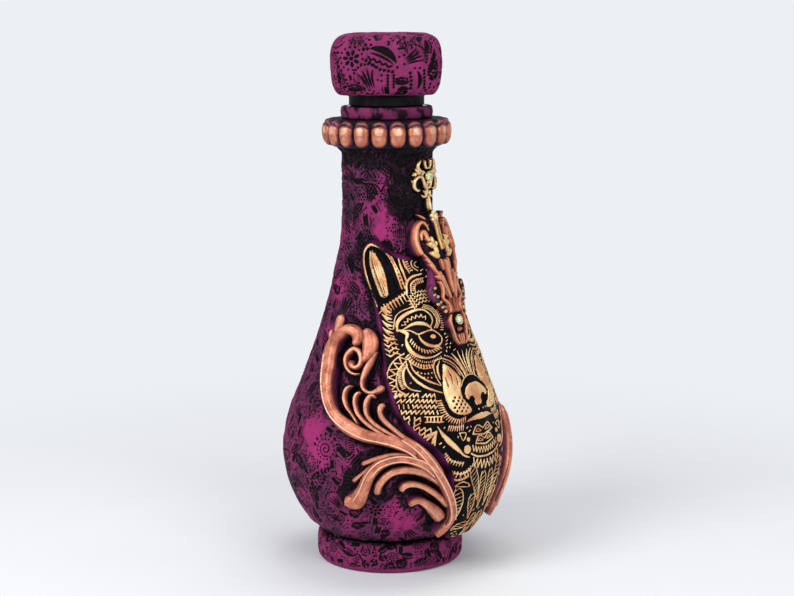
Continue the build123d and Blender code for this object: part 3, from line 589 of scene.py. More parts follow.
def spots_of(sheet, spots):
    """How near each place on the skin is to one of some spots, from 0 to 1, with ragged edges."""
    share, ragged = sheet.blank(), 1 + 0.35 * clouds(sheet, 7, 91) + 0.2 * clouds(sheet, 3, 92)
    for angle, height, reach in spots:
        for side in (-1, 1):
            turn = wrapped(sheet.angles[None, :] - math.radians(angle * side))
            away = np.hypot(turn * sheet.radii[:, None], (sheet.runs - sheet.curve.run(height))[:, None])
            share = np.maximum(share, np.clip(1.6 - 1.6 * away / reach / ragged, 0, 1))
    return share


skin_bright, skin_dark = spots_of(skin, bright_spots), spots_of(skin, dark_spots)
pressed += [(math.radians(side * angle), float(skin_curve.run(height)), 0.55 * reach)
            for angle, height, reach in bright_spots[:6] for side in (-1, 1)]
press_all(skin, skin_cuts, 11, (4.4, 7.2), 0.98, large_stamps, pressed, 1.15)
press_all(skin, skin_cuts, 12, (2.4, 3.8), 0.86, small_stamps, pressed, 1.1)
crowding = np.clip(0.85 + 0.6 * clouds(skin, 26, 5) - 0.7 * skin_bright + 0.4 * skin_dark, 0.0, 1.0)
fill_with_dots(skin, skin_cuts, 13, 1.7, 1.15, crowding)
skin_lumps = 0.3 * clouds(skin, 9, 21) + 0.25 * clouds(skin, 24, 22)
skin_proud = skin_lumps - skin_cut_depth * skin_cuts
cove_rise = 2.6
skin_proud += cove_rise * eased(skin.heights, 224.6, 229.4) ** 2

# Its paint: black in the cuts, purple-grey over the ground, magenta dragged over the high patches
clay = Finish("magenta_clay", roughness=0.55)
patches = clay.blotches(26, 0.44, 0.74, detail=5, rough=0.65, warp=0.6)
streaks = clay.blotches(3.4, 0.36, 0.62, detail=6, stretch=(1, 1, 0.2), rough=0.75)
brushed = clay.maths("MULTIPLY", patches, clay.maths("ADD", streaks, 0.45))
ground = clay.mix(clay.blotches(11, 0.34, 0.6, detail=4, rough=0.65), srgb(52, 30, 50), srgb(100, 42, 78))
brighter = clay.maths("MULTIPLY", clay.layer("bright"), clay.maths("ADD", streaks, 0.55))
brushed = clay.maths("MAXIMUM", brushed, brighter)
paint = clay.mix(brushed, ground, srgb(150, 44, 102))
gritty = clay.blotches(1.7, 0.3, 0.7, -0.45, 0.45, detail=6, stretch=(1, 1, 0.3), rough=0.8)
smear_and_shade = clay.step(clay.maths("ADD", clay.layer("smear_and_shade"), gritty), 0.3, 0.85, 0.0, 0.96)
# Near-black over the smeared places: black wash, and on the skin round the castings partly painted shade.
paint = clay.mix(smear_and_shade, paint, srgb(13, 10, 16))
worn = clay.step(clay.layer("cut"), 0.3, 0.75)
clay.colour(clay.mix(worn, paint, srgb(7, 5, 8)))
clay.rough(clay.blotches(3, 0.3, 0.7, 0.45, 0.68, detail=4))
clay.grain(clay.speckle(0.9, detail=3), 0.12, strength=0.6)
clay.give({"Specular IOR Level": 0.08})
body_cover = clay_wall("body_clay", skin, skin_proud, skin_thickness, skin_cuts, bright=skin_bright)
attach(body_cover, "bottle")
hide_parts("body_cover")

# Foot cover
# A band of the same clay goes round the glass foot, with small stamps and a rounded lower rim.
# Its underside is pressed flat, because the bottle stands on it.
foot_pitch, foot_thickness = 0.4, 1.6
foot_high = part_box("foot_cover")[1]
foot_radius, foot_top = foot_high.x / MM, foot_high.z / MM
foot_outline = [(foot_radius - inset, height) for inset, height in (
    (2.6, 0), (1.2, 0.5), (0.35, 2.2), (0.05, 4.5), (0, 8.0), (0.1, 11.4), (0.8, 13.8), (3.3, foot_top))]
foot = Sheet(Curve(*np.array(foot_outline).T), foot_pitch)
foot_cuts = foot.blank()
press_all(foot, foot_cuts, 31, (2.0, 3.0), 1.05, small_stamps + [press_flower, press_spiral], [], 1.15)
fill_with_dots(foot, foot_cuts, 32, 1.8, 1.1, np.clip(0.5 + 0.9 * clouds(foot, 18, 33), 0.0, 1.0))
rim_fade = np.clip(foot.runs / 3 - 0.6, 0, 1)[:, None]
foot_cuts *= rim_fade
foot_smear = (np.maximum(1 - foot.runs / 2.2, 0) + np.clip((foot.runs - 15.5) / 3, 0, 0.8))[:, None]
foot_proud = rim_fade * (0.2 * clouds(foot, 12, 34) - skin_cut_depth * foot_cuts)
foot_piece = clay_wall("foot_clay", foot, foot_proud, foot_thickness, foot_cuts, foot_smear, bright=0.45)
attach(foot_piece, "bottle")
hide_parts("foot_cover")

# Lip cover
# A plain strip of clay closes the top of the neck, smoothed with a finger and painted in two tones.
lip_low, lip_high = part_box("lip_cover")
lip_radius, lip_bottom, lip_top = lip_high.x / MM, lip_low.z / MM, lip_high.z / MM
lip_round, lip_pitch, lip_thickness = 1.2, 0.35, 0.25
lip_edge = [(3.0, 0), (lip_round, 0), (0.3, 0.35), (0, lip_round)]
lip_outline = [(lip_radius - inset, lip_bottom + rise) for inset, rise in lip_edge]
lip_outline += [(lip_radius - inset, lip_top - rise) for inset, rise in reversed(lip_edge)]
lip = Sheet(Curve(*np.array(lip_outline).T, step=0.1), lip_pitch)
lip_smear = np.clip(0.42 + 1.1 * clouds(lip, 9, 41), 0, 1) + 0.8 * eased(lip.runs, 9.6, 11)[:, None]
lip_piece = clay_wall("lip_clay", lip, 0.12 * clouds(lip, 9, 42), lip_thickness, smear_and_shade=lip_smear, bright=0.4)
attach(lip_piece, "bottle")
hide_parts("lip_cover")

# Collar
# A black ring of clay under the lip carries a row of copper beads, pressed from a strip mould:
# each bead is an oval with a thin crescent over it, and the copper is wiped on thinner in the middle.
collar_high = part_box("collar_ring")[1]
bead_low, bead_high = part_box("collar_beads")
bead_count = 21
bead_back = collar_high.x / MM + 0.1
bead_reach = bead_high.x / MM + 0.7
bead_middle = (bead_low.z + bead_high.z) / 2 / MM + 0.3
bead_tall = (bead_high.z - bead_low.z) / 2 / MM + 0.3
bead_wide = 4.5

black_paint = Finish("black_clay", roughness=0.5)
tint = black_paint.blotches(7, 0.5, 0.72, detail=4)
black_paint.colour(black_paint.mix(tint, srgb(13, 13, 18), srgb(44, 24, 42)))
black_paint.grain(black_paint.speckle(1.4, detail=3), 0.15)
black_paint.give({"Specular IOR Level": 0.1})
dress("collar_ring", black_paint)


def rubbed_clay(name, dull, warm, bright, dark):
    """Metal paint rubbed over black: bright on the crowns, black where the cloth didn't reach. The bright
    colour on the crowns is a painted highlight over the rub, and the browner tone down the sides is painted
    shade.
    """
    copper = Finish(name, roughness=0.38, metallic=0.35)
    crown = copper.layer("ridge")
    tone = copper.mix(copper.blotches(7, 0.35, 0.65, detail=3), dull, warm)
    patchy = copper.blotches(3.4, 0.46, 0.66, 0.0, 0.65, detail=5, rough=0.75)
    tone = copper.mix(patchy, tone, srgb(136, 74, 56))
    # Browner tone where the crown falls away down the sides: painted shade.
    tone = copper.mix(copper.step(crown, 0.3, 0.62), srgb(128, 68, 58), tone)
    # The bright colour on the highest crowns: a painted highlight.
    tone = copper.mix(copper.step(crown, 0.8, 0.97, 0, 0.7), tone, bright)
    worn = copper.blotches(1.6, 0.56, 0.68, 0.0, 0.65, detail=4, rough=0.75)
    tone = copper.mix(worn, tone, dark)
    wall = copper.mix(copper.blotches(9, 0.4, 0.6), srgb(24, 18, 26), srgb(92, 34, 74))
    reach = copper.maths("ADD", crown, copper.blotches(2.2, 0.2, 0.8, -0.1, 0.1, detail=3))
    covered = copper.step(reach, 0.16, 0.36)
    copper.colour(copper.mix(covered, wall, tone))
    copper.metal(copper.step(covered, 0.2, 0.9, 0.0, 0.45))
    copper.rough(copper.blotches(1.2, 0.3, 0.7, 0.3, 0.5, detail=4))
    copper.grain(copper.speckle(0.8, detail=3), 0.14, strength=0.7)
    copper.give({"Specular IOR Level": 0.3})
    return copper


# The third colour is the painted highlight on the crowns.
copper_paint = rubbed_clay("copper_clay", srgb(172, 98, 78), srgb(212, 136, 108), srgb(250, 204, 174),
                           srgb(84, 40, 40))


class Casting:
    """Strips, knobs and shells of cast clay that leave the mould as one piece."""

    def __init__(self):
        self.points, self.faces, self.ridges, self.count = [], [], [], 0

    def add(self, points, faces, ridge):
        self.points.append(points.reshape(-1, 3))
        self.faces.append(faces + self.count)
        self.ridges.append(np.asarray(ridge, float).ravel())
        self.count += len(self.points[-1])

    def add_pair(self, half):
        """Adds all of another casting, as it is and again on the other side of the middle."""
        points, faces, ridge = np.vstack(half.points), np.vstack(half.faces), np.concatenate(half.ridges)
        self.add(points, faces, ridge)
        self.add(points * (-1, 1, 1), faces[:, ::-1], ridge)
        return self

    def finished(self, name, finish, mirrored=False):
        points, faces = np.vstack(self.points), np.vstack(self.faces)
        if mirrored:
            points, faces = points * (-1, 1, 1), faces[:, ::-1]
        return build(name, points, faces, finish, {"ridge": np.concatenate(self.ridges)})


beads = Casting()
side, rise = np.meshgrid(np.linspace(-1, 1, 25), np.linspace(-1, 1, 35))
round_out, long_out = np.sqrt(1 - side ** 2), np.sqrt(1 - rise ** 2)
width = side * bead_wide * np.sqrt(1 - 0.97 * abs(rise) ** 3.2) * (0.97 + 0.03 * rise)
crescent = np.exp(-((rise - 0.7 + 0.24 * side ** 2) / 0.085) ** 2)
crown = (bead_reach - bead_back) * round_out ** 0.65 * long_out ** 0.7
reach = bead_back + crown - 0.75 * crescent * round_out - 0.3
for index in range(bead_count):
    angle = full_turn * (index + 0.5) / bead_count + width / bead_back
    middle_band = np.exp(-((rise + 0.02 + 0.1 * math.sin(5 * index)) / 0.24) ** 2)
    # Each bead's lower half sits a little lower on the ridge, as painted shade, and its crown takes the painted
    # highlight.
    ridge = np.clip(round_out * long_out * 1.04 - 1.3 * crescent - 0.12 * middle_band - 0.1 * (rise < 0), 0, 1)
    beads.add(turned(reach, angle, bead_middle + rise * bead_tall), grid_faces(*side.shape, False), ridge)
bead_piece = beads.finished("copper_beads", copper_paint)
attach(bead_piece, "bottle")
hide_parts("collar_beads")

# Wolf casting
# The mask is air-dry clay pressed in one mould: face, ears, ruff and chest in low relief, glued on soft so
# that it follows the belly. It is painted black, its raised lines are rubbed with gold, its rim with purple.
wolf_pitch = 0.34
wolf_low, wolf_high = 15.5, 183.0
wolf_side = 85.0
wolf_seat, casting_back = -0.7, -1.2
mask_proud, face_proud, nose_rise = 3.2, 6.2, 0.7
line_rise, line_share = 0.6, 0.88
ear_rim = [
    (68.7, 150.6), (73.3, 156), (78.2, 162.7), (81.1, 169.4), (80.7, 175.8), (76.4, 179.6), (70.2, 181.1),
    (62.1, 179.8), (55.8, 177.2)]
ear_outline = [
    (60.5, 141), *ear_rim, (50.7, 174.6), (45.5, 168.5), (41.2, 160), (38.4, 154), (46, 151), (55, 146.5)]
wolf_outline = [
    (0, 17.0), (7, 18.4), (13, 22.5), (19.3, 34), (21.3, 45), (22.2, 58), (29.3, 71.2), (38, 78.5), (48.6, 90),
    (53, 100.6), (56.6, 109.6), (57.8, 119), (60.2, 130), (63, 138.5), *ear_rim, (50.7, 175.1), (45, 173.7),
    (37.4, 172.5), (29.3, 171.7), (20, 171), (8, 170.5), (0, 170.5)]
wolf = Sheet(skin_curve, wolf_pitch, wolf_low, wolf_high, -wolf_side, wolf_side)
gold_lines = wolf.blank()
wolf_draw = np.random.default_rng(51)


def at(rows, side=1):
    """Degrees from the wolf's middle and heights, as the angles and runs of the sheet."""
    rows = np.asarray(rows, float)
    placed = rows.copy()
    placed[:, 0] = np.radians(rows[:, 0]) * side
    placed[:, 1] = skin_curve.run(rows[:, 1])
    return placed


def on_face(rows, side=1):
    """The same for lines on the raised face, whose heights are those of the face and not of the skin below."""
    rows = np.asarray(rows, float)
    placed = at(rows, side)
    rise = skin_curve.facing(placed[:, 1])[1]
    nose_near = np.exp(-(rows[:, 0] / 14) ** 2 - ((rows[:, 1] - 99) / 12) ** 2)
    placed[:, 1] -= rise * (face_proud - 0.4 + 3 * nose_near)
    return placed


def both_halves(outline, lay=at):
    half = lay(outline)
    other = half[::-1] * (-1, 1)
    return np.vstack([half[:-1], other[:-1]]) if outline[-1][0] == 0 else np.vstack([half, other])


def swelling(angle, height, wide, tall):
    """A soft hill on both sides of the middle, from 0 at its edge to 1 at its top."""
    hill = wolf.blank()
    for side in (-1, 1):
        across = (wolf.angles[None, :] - math.radians(angle) * side) * wolf.radii[:, None]
        up = (wolf.runs - skin_curve.run(height))[:, None]
        away = (across / wide) ** 2 + (up / tall) ** 2
        hill = np.maximum(hill, np.clip(1 - away, 0, 1) ** 1.5)
    return hill


def resampled(path, count):
    """Evenly spaced points of a line, with its direction and its left-hand side in millimetres."""
    path = faired_line(path[:, :2])
    radii = skin_curve.radius(path[:, 1])
    steps = np.hypot(np.diff(path[:, 0]) * radii[1:], np.diff(path[:, 1]))
    length = np.concatenate([[0], np.cumsum(steps)])
    where = np.linspace(0, length[-1], count)
    angle, run = np.interp(where, length, path[:, 0]), np.interp(where, length, path[:, 1])
    radius = skin_curve.radius(run)
    ahead_x, ahead_y = np.gradient(angle) * radius, np.gradient(run)
    size = np.maximum(np.hypot(ahead_x, ahead_y), 1e-6)
    return angle, run, radius, ahead_x / size, ahead_y / size


def beside(path, count, off, forward=0.0):
    """Points alongside a line, off millimetres to its left and forward along it."""
    angle, run, radius, ahead_x, ahead_y = resampled(path, count)
    off, forward = np.broadcast_to(off, count), np.broadcast_to(forward, count)
    turns = angle + (ahead_x * forward - ahead_y * off) / radius
    return np.stack([turns, run + ahead_y * forward + ahead_x * off], -1)


def line(rows, width):
    """A raised line on both halves of the wolf; width may change along it."""
    for side in (-1, 1):
        path = faired_line(on_face(rows, side), step=1.2)
        given = np.linspace(0, 1, np.size(width))
        widths = np.interp(np.linspace(0, 1, len(path)), given, np.atleast_1d(width))
        wolf.stroke(gold_lines, path, widths * line_share)


def fringe(rows, count, near, far, lean=0.0, width=(0.85, 0.35)):
    """Short hairs that stand off a line, from near to far millimetres to its left."""
    for side in (-1, 1):
        path = on_face(rows, side)
        start, end = beside(path, count, near * side), beside(path, count, far * side, lean)
        for first, last in zip(start, end):
            wolf.stroke(gold_lines, [first, last], np.multiply(width, line_share))


def zigzag(rows, count, near, far, width, broken=0.0, lean=0.0):
    """Teeth to and fro across a line; broken is the share of strokes left out."""
    for side in (-1, 1):
        path = on_face(rows, side)
        low, high = beside(path, count, near * side), beside(path, count, far * side, lean)
        teeth = np.where(np.arange(count)[:, None] % 2, high, low)
        for first, last in zip(teeth, teeth[1:]):
            if wolf_draw.uniform() >= broken:
                wolf.stroke(gold_lines, [first, last], width * line_share)


def pips(rows, count, width):
    for side in (-1, 1):
        for spot in beside(on_face(rows, side), count, 0):
            wolf.stroke(gold_lines, [spot], width)


def ladder(start, end, width):
    """A feather: two rails that run together at the tip, and slanting rungs between them."""
    rungs = int(math.dist(start, end) / 2.3)
    for side in (-1, 1):
        path = on_face([start, end], side)
        share = np.linspace(0, 1, rungs + 2)
        swell = np.minimum(share * 4 + 0.45, (1 - share) * 1.7 + 0.05).clip(0, 1) * width / 2
        left, right = beside(path, rungs + 2, swell), beside(path, rungs + 2, -swell)
        wolf.stroke(gold_lines, left, 0.55)
        wolf.stroke(gold_lines, right, 0.5)
        for first, last in zip(left[:-1], right[1:]):
            wolf.stroke(gold_lines, [first, last], 0.42)


in_mask = wolf.inside(faired_line(both_halves(wolf_outline), 1.5, closed=True), 12)
in_ears = np.maximum(*(
    wolf.inside(faired_line(at(ear_outline, side), 1.5, closed=True), 8) for side in (-1, 1)))

# Relief of the face, from the wall at its rim to the nose
wolf_proud = wolf_seat + (mask_proud - wolf_seat) * eased(in_mask, -1.0, 1.3)
face_share = eased(in_mask, 2.2, 9.0) * (1 - 0.8 * eased(in_ears, -1.5, 2.5))
wolf_proud += (face_proud - mask_proud) * face_share
wolf_proud += 1.5 * eased(in_ears, 0.6, 2.4) * (1 - eased(in_ears, 2.8, 4.2))
for rise, hill in (
        (1.9, (0, 98, 27, 21)), (1.2, (12.5, 93, 9.5, 8)), (1.0, (0, 84, 9, 6)), (0.9, (30, 140, 15, 6.5)),
        (-1.3, (21, 127.8, 11, 6.5)), (1.4, (20.5, 127.4, 7.5, 4.2)), (0.7, (42, 112, 11, 15)),
        (0.5, (16, 76, 6, 14))):
    wolf_proud += rise * swelling(*hill)
nose_outline = [
    (0, 104.6), (3.4, 104.4), (6.2, 103), (8.6, 100.8), (9.4, 98.2), (8, 96.6), (5.4, 97.2), (3.4, 96),
    (2.4, 93.4), (0, 93)]
in_tip = wolf.inside(faired_line(both_halves(nose_outline, on_face), 0.8, closed=True), 6)
wolf_proud += nose_rise * eased(in_tip, -0.6, 2.0)
patch_outline = [
    (19, 112.8), (17.6, 116), (13.9, 114.3), (10.2, 110.6), (8.4, 106.4), (10.6, 102.6), (11.4, 98.6),
    (9.4, 95), (6.6, 92), (7.4, 90), (11.9, 89.2), (16.6, 90.4), (19.8, 93), (21.4, 97.6), (21.7, 102.6),
    (20.4, 108.5)]
in_patches = np.maximum(*(
    wolf.inside(faired_line(on_face(patch_outline, side), 1.0, closed=True), 5) for side in (-1, 1)))
wolf_proud += 0.5 * eased(in_patches, -0.5, 1.5)

# Ears: a thick rim, a strip of hair in the hollow, and small tufts at the root
line([(62.5, 147.2), (68.2, 155.2), (73.8, 162.7), (77.6, 169.8), (77.4, 175.3), (74, 178.2), (68.8, 179.4),
      (61.4, 178.2), (54, 175), (48.6, 170.2), (44.6, 163.2), (41.2, 156.2)],
     (1.2, 1.5, 2.0, 2.5, 2.7, 2.4, 2.0, 1.6, 1.3, 1.1, 1.0, 0.9))
for strand in range(3):
    lean = 1.4 + strand * 1.9
    line([(69.4 - lean * 0.5, 176 - strand * 0.9), (68.4 - lean, 170), (63.8 - lean, 163), (59.4 - lean, 156.6),
          (56.6 - lean * 0.5, 153 + strand * 0.4)], (0.4, 0.8, 1.0, 0.9, 0.4))
fringe([(70.2, 175.6), (69.8, 169.5), (65.2, 162), (58.6, 153)], 26, 0.4, -0.9, 1.5, (0.7, 0.3))
fringe([(66.4, 174.6), (60.2, 169), (55.6, 162), (53.4, 153.6)], 26, -0.2, 1.2, 1.5, (0.7, 0.3))
fringe([(58.6, 146.4), (53, 149.2), (46, 151.8), (39.4, 154.4)], 9, 0.2, 4.6, -1.0, (1.1, 0.4))
line([(60.6, 143.6), (55, 147.2), (47, 150.6), (39, 153.6)], 0.7)

# Forehead between ear and crest: a beaded band, ribbons, a hook and an arch of scales
pips([(52.4, 174.2), (48, 169.4), (44, 164.4), (40.2, 158.8)], 9, 1.25)
line([(50.4, 174.4), (46.2, 169.4), (41.8, 162.6), (38.8, 156.4)], 0.6)
line([(42.4, 172.4), (41, 167.3), (38.8, 162.7), (37.4, 160)], (0.8, 1.3, 0.8))
line([(38.4, 172), (36.6, 167.8), (34.2, 164)], (0.7, 1.3, 0.6))
fringe([(35.2, 171.4), (34.4, 168.4), (32.4, 165.4)], 6, -0.6, 0.6, width=(0.9, 0.7))
line([(26.3, 171.2), (29.8, 169.8), (29.6, 167), (26, 165)], 0.7)
line([(23.8, 170), (26.8, 169), (26.6, 167.4), (24, 166.6)], 0.6)
line([(37.6, 153.6), (37.2, 159), (32.2, 162), (22.8, 163.2)], (0.8, 1.3, 1.5, 0.9))
line([(34.1, 153.6), (33.6, 158), (29.2, 160.2), (21.6, 161)], (0.6, 1.1, 1.1, 0.6))
fringe([(31.2, 155), (30.6, 157.6), (27.4, 158.8), (22.4, 159.2)], 9, 0.4, -1.3, width=(0.8, 0.4))
for arch in range(4):
    drop = arch * 1.75
    zigzag([(36.6 - arch, 149.4 - drop), (34 - arch, 152.4 - drop), (28 - arch, 154.2 - drop),
            (19 - arch, 154 - drop)],
           17 - arch, -0.5, 0.6, 0.6)

# Brow: ribbons that sweep over the eye and curl round towards the nose
line([(49.4, 135.6), (47.8, 141.6), (43.6, 144.4), (37.6, 145.8), (33, 147)], 0.7)
line([(46.8, 134.4), (46.6, 138.4), (42.9, 141.6), (36.9, 143.8), (30.6, 144.8), (25, 144.2), (20.4, 141.2),
      (19.2, 138.2), (21.6, 135.4)], (0.9, 1.7, 2.1, 1.9, 1.5, 1.1, 1.0, 0.9, 0.6))
for ribbon in range(3):
    spread = 1.0 + 0.95 * ribbon
    line([(27.5 - spread, 145 + spread * 0.75), (21.4 - spread * 1.4, 143.4 + spread * 0.6),
          (17.6 - spread * 1.6, 140),
          (17.4 - spread * 1.5, 137.2), (19.8 - spread * 1.4, 134.6)], 0.62)
fringe([(13.2, 143.6), (10.6, 140), (9.6, 136.6), (10.8, 133)], 10, 0.1, 1.7)
zigzag([(42.4, 137), (39.6, 139.6), (34.6, 141), (28.4, 141.6), (24.4, 140)], 14, -0.7, 0.9, 0.55)
line([(42.6, 135.2), (36, 137.4), (30, 137.8), (23.8, 136.4), (20, 133.8)], (0.5, 1.6, 2.3, 1.8, 0.5))
line([(47.4, 134.8), (43.6, 134.4), (40, 132.8), (40.4, 130.6)], (0.6, 2.0, 2.2, 1.2))

# Eye: a closed lid, thick along its lower edge, the iris, rows of lashes and a ticked band below
line([(42.2, 134.8), (37, 134.2), (31.8, 132.3), (25.6, 133.4), (20.1, 133.7), (15.4, 131.6), (13.4, 128.3),
      (16, 126), (20.9, 125.4), (26.4, 126.8), (29.9, 129.2), (31.8, 132.3)],
     (0.5, 0.8, 1.0, 1.0, 0.8, 0.8, 0.8, 1.2, 1.8, 1.9, 1.4, 0.7))
pips([(21, 130.4), (20.2, 130.4)], 2, 2.3)
line([(41, 130), (40, 126.1), (36.8, 122.6), (30.4, 120.2), (23.1, 120.2), (16.4, 122)],
     (1.0, 2.5, 2.3, 1.2, 0.9, 0.6))
fringe([(38, 129.6), (34.6, 126), (29.6, 123.6), (24.1, 122.8), (17.4, 124.2)], 13, -0.7, 0.8, 0.9, (1.0, 0.6))
fringe([(39.4, 122.6), (33, 118.9), (26, 117.9), (18, 119.6)], 18, 0.6, -0.3, width=(0.6, 0.45))
fringe([(41.2, 121.6), (37.9, 118.2), (32.4, 115.9), (25.4, 115.6)], 11, -0.7, 0.9, 0.3, (1.1, 0.9))
line([(41.4, 120.6), (38, 117.2), (32.4, 114.8), (25.2, 114.6)], 0.6)
pips([(37.6, 113.8), (33.8, 112.6), (30.1, 112), (26.4, 112.2)], 6, 1.0)
pips([(34.2, 110.8), (30.4, 110), (27.2, 109.8)], 4, 0.9)

# Cheek: a crescent of triangles, a ticked ribbon inside it and tufts outside
line([(43.2, 122.8), (48, 120.7), (51.9, 117.5), (54, 113.2), (54, 108.9), (52.8, 104.5), (49.5, 101.3)], 0.9)
line([(42.4, 118.9), (46.2, 115.8), (48.1, 112.6), (48.6, 108.8), (47.5, 105), (43.3, 102.2)], 0.8)
zigzag([(43, 121), (47.1, 118.3), (50.1, 115), (51.3, 111), (51.2, 107), (50.2, 103.8), (46.8, 101.6)], 15,
       -1.75, 1.75, 0.7)
line([(41.4, 117.2), (43.8, 114.6), (44.6, 111.4), (43.8, 107.6), (40.6, 104.8), (35, 103.6)],
     (0.6, 1.1, 1.3, 1.2, 0.9, 0.6))
fringe([(43.8, 117), (46.2, 113.6), (46.6, 109.4), (44.8, 105.4)], 15, 0.5, -1.0)
for step in range(5):
    high = 147.3 - step * 3.5
    far = 58.6 - step * 0.4
    line([(far, high), (far - 3.2, high - 2.2), (far - 7.6, high - 3.2)], (0.4, 2.1, 0.7))
    line([(far - 1.8, high + 1.2), (far - 4.8, high - 0.8), (far - 8, high - 1.4)], 0.5)
for step in range(4):
    high = 130.4 - step * 2.5
    far = 57 - step * 0.7
    line([(far, high + 0.6), (far - 3.4, high - 0.9), (far - 6.2, high + 0.5), (far - 9.6, high - 0.4)],
         (0.5, 1.2, 1.0, 0.6))
    pips([(far - 2.6, high + 0.9), (far - 7.6, high + 1.1)], 3, 0.8)

# Muzzle: two ribbons down the cheek, loops and hair beside a bare gold patch with its pricked pad
line([(42.2, 119.4), (41.6, 115), (38.6, 110.4), (34.4, 107), (29.4, 104.4), (22.6, 101.8)],
     (0.6, 1.0, 1.4, 1.7, 1.3, 0.7))
line([(40, 118.6), (38.2, 114.2), (34, 110.8), (28.8, 108), (22.6, 105.4)], (0.5, 0.9, 1.2, 1.3, 0.6))
line([(17.8, 118.7), (22.3, 118.2), (24.3, 115.7), (24.7, 112.5), (23.9, 109), (22.3, 105.7)], 0.65)
line([(19.6, 117.6), (21.8, 114.8), (22.4, 111.4), (21.8, 108.4)], (0.4, 1.3, 1.4, 0.5))
line([(16.8, 118.7), (12, 116.9), (8.4, 113.9), (6.3, 110.3), (5.4, 107.3)], 0.8)
line([(14.8, 120.1), (9.8, 118.3), (6, 114.9), (4, 111), (3.4, 107.9)], 0.75)
line([(17.2, 117.4), (12.4, 115.4), (9.2, 112.6), (7.4, 109)], 0.5)
line([(8.4, 120.4), (5.4, 117), (3.6, 112.8), (2.4, 108.9)], (0.5, 1.6, 1.7, 0.5))
line([(2.6, 121), (1.4, 116), (1.0, 111), (1.2, 108.6)], (0.4, 0.9, 0.8, 0.4))
line([(9.8, 103.4), (6.8, 106.4), (3, 108.1), (0, 108.4)], 0.6)
for patch in (in_patches, in_tip):
    gold_lines = np.maximum(gold_lines, eased(patch, -0.2, 0.3))
fringe([(25.2, 97.8), (23.6, 92.6), (20.6, 88.6), (15.6, 86.6), (11.4, 87.2)], 17, -0.9, 2.0, -0.8, (1.0, 0.35))
fringe([(21.8, 84.6), (17.4, 83.6), (13.6, 83.8)], 8, -0.6, 2.0, -0.8, (0.9, 0.35))
line([(10.8, 85.8), (5.4, 86.9), (0, 87.1)], (0.5, 2.5, 3.5))

# Ruff: rows of broken zigzag fur that hang from cheek to chin, and a small ladder under the pad
for row in range(8):
    height = 101.8 - 2.8 * row
    far = np.interp(height, (71, 78.5, 90, 100.6), (26, 34.4, 45, 49.5))
    near = 26.2 if height > 92.5 else 36 if height > 86.5 else 31
    zigzag([(far, height + 0.8), ((far + near) / 2, height), (near, height - 1)], int((far - near) * 0.9),
           -0.95, 0.95,
           0.78, broken=0.1, lean=-0.7)
for rail in ((90.9, 90.3), (88.4, 87.5)):
    line([(34.6, rail[0]), (24.6, rail[1])], 0.75)
fringe([(33.4, 89.6), (25.8, 88.8)], 5, -1.2, 1.2, width=(0.9, 0.9))

# Chest: leaves, a crescent that ends in a bead, a garland, nested triangles and rows of ticks
for tip in ((36.6, 80.2, 1.7), (35.8, 77.6, 1.3), (32.2, 74, 1.9), (30.4, 72.6, 1.1)):
    line([(29.2, 83.4), ((29.2 + tip[0]) / 2, (83.4 + tip[1]) / 2), tip[:2]], (0.6, tip[2], 0.4))
line([(28.4, 85.6), (26.4, 81.8), (22.8, 77.2), (19, 72.8), (15.8, 69.2), (12.6, 67.6)],
     (0.5, 1.8, 3.0, 2.7, 1.3, 0.8))
pips([(13.6, 71.9), (13.2, 71.9)], 2, 4.2)
line([(11.2, 69.2), (6.9, 66.9), (0, 66)], 1.1)
zigzag([(10, 71.8), (5, 70), (0, 69.4)], 11, -1.5, 1.3, 0.62)
for low, high, wide in ((78.9, 82.8, 8.2), (73.9, 77.4, 7.4)):
    line([(wide, low), (wide * 0.55, high), (0, high - 2.2)], 0.8)
    line([(wide, low), (0, low - 1.6)], 0.9)
    line([(wide * 0.72, low + 0.9), (wide * 0.52, high - 1.5), (wide * 0.2, low + 0.6),
          (wide * 0.72, low + 0.9)], 0.55)
line([(17, 80.8), (15.4, 76.8), (12.8, 80.2), (17, 80.8)], 0.7)
pips([(12, 76.6), (11.8, 76.9)], 2, 2.0)
line([(24.3, 70.9), (21.6, 66.9), (16.5, 64.9)], 0.6)
fringe([(24.3, 71.4), (21.6, 67.4), (16.5, 65.4)], 9, -0.1, 2.1, width=(0.8, 0.4))
line([(25.2, 65.2), (21.7, 60.5), (16.8, 59), (12.8, 61.2)], 0.9)
fringe([(24.8, 65.6), (21.4, 61), (16.8, 59.6), (13.4, 61.6)], 11, -0.2, 2.5, width=(0.9, 0.5))
line([(23.4, 58.6), (18.2, 55.2), (13.3, 57.8)], 0.8)
fringe([(23, 59.2), (18.2, 55.9), (13.8, 58.2)], 11, -0.1, 1.2, width=(0.6, 0.5))
zigzag([(10.6, 64.8), (5, 62.4), (0, 61.6)], 9, -2.1, 2.0, 0.75)
line([(19.2, 51.4), (15.4, 54.4), (12, 51.8), (19.2, 51.4)], 0.65)

# Feathers: ladders of two rails and slanting rungs that run down to the foot
for start, end, width in (
        ((11.4, 63.4), (4.8, 42), 4.6), ((3, 58), (2.6, 37), 4.2), ((9.4, 46.8), (7.4, 31.6), 4.0),
        ((17.6, 50.6), (14.4, 33), 4.2), ((7.2, 30), (13, 22.4), 3.8), ((2.6, 34), (4.4, 20.4), 4.2),
        ((26, 69.4), (22.4, 58), 3.2)):
    ladder(start, end, width)

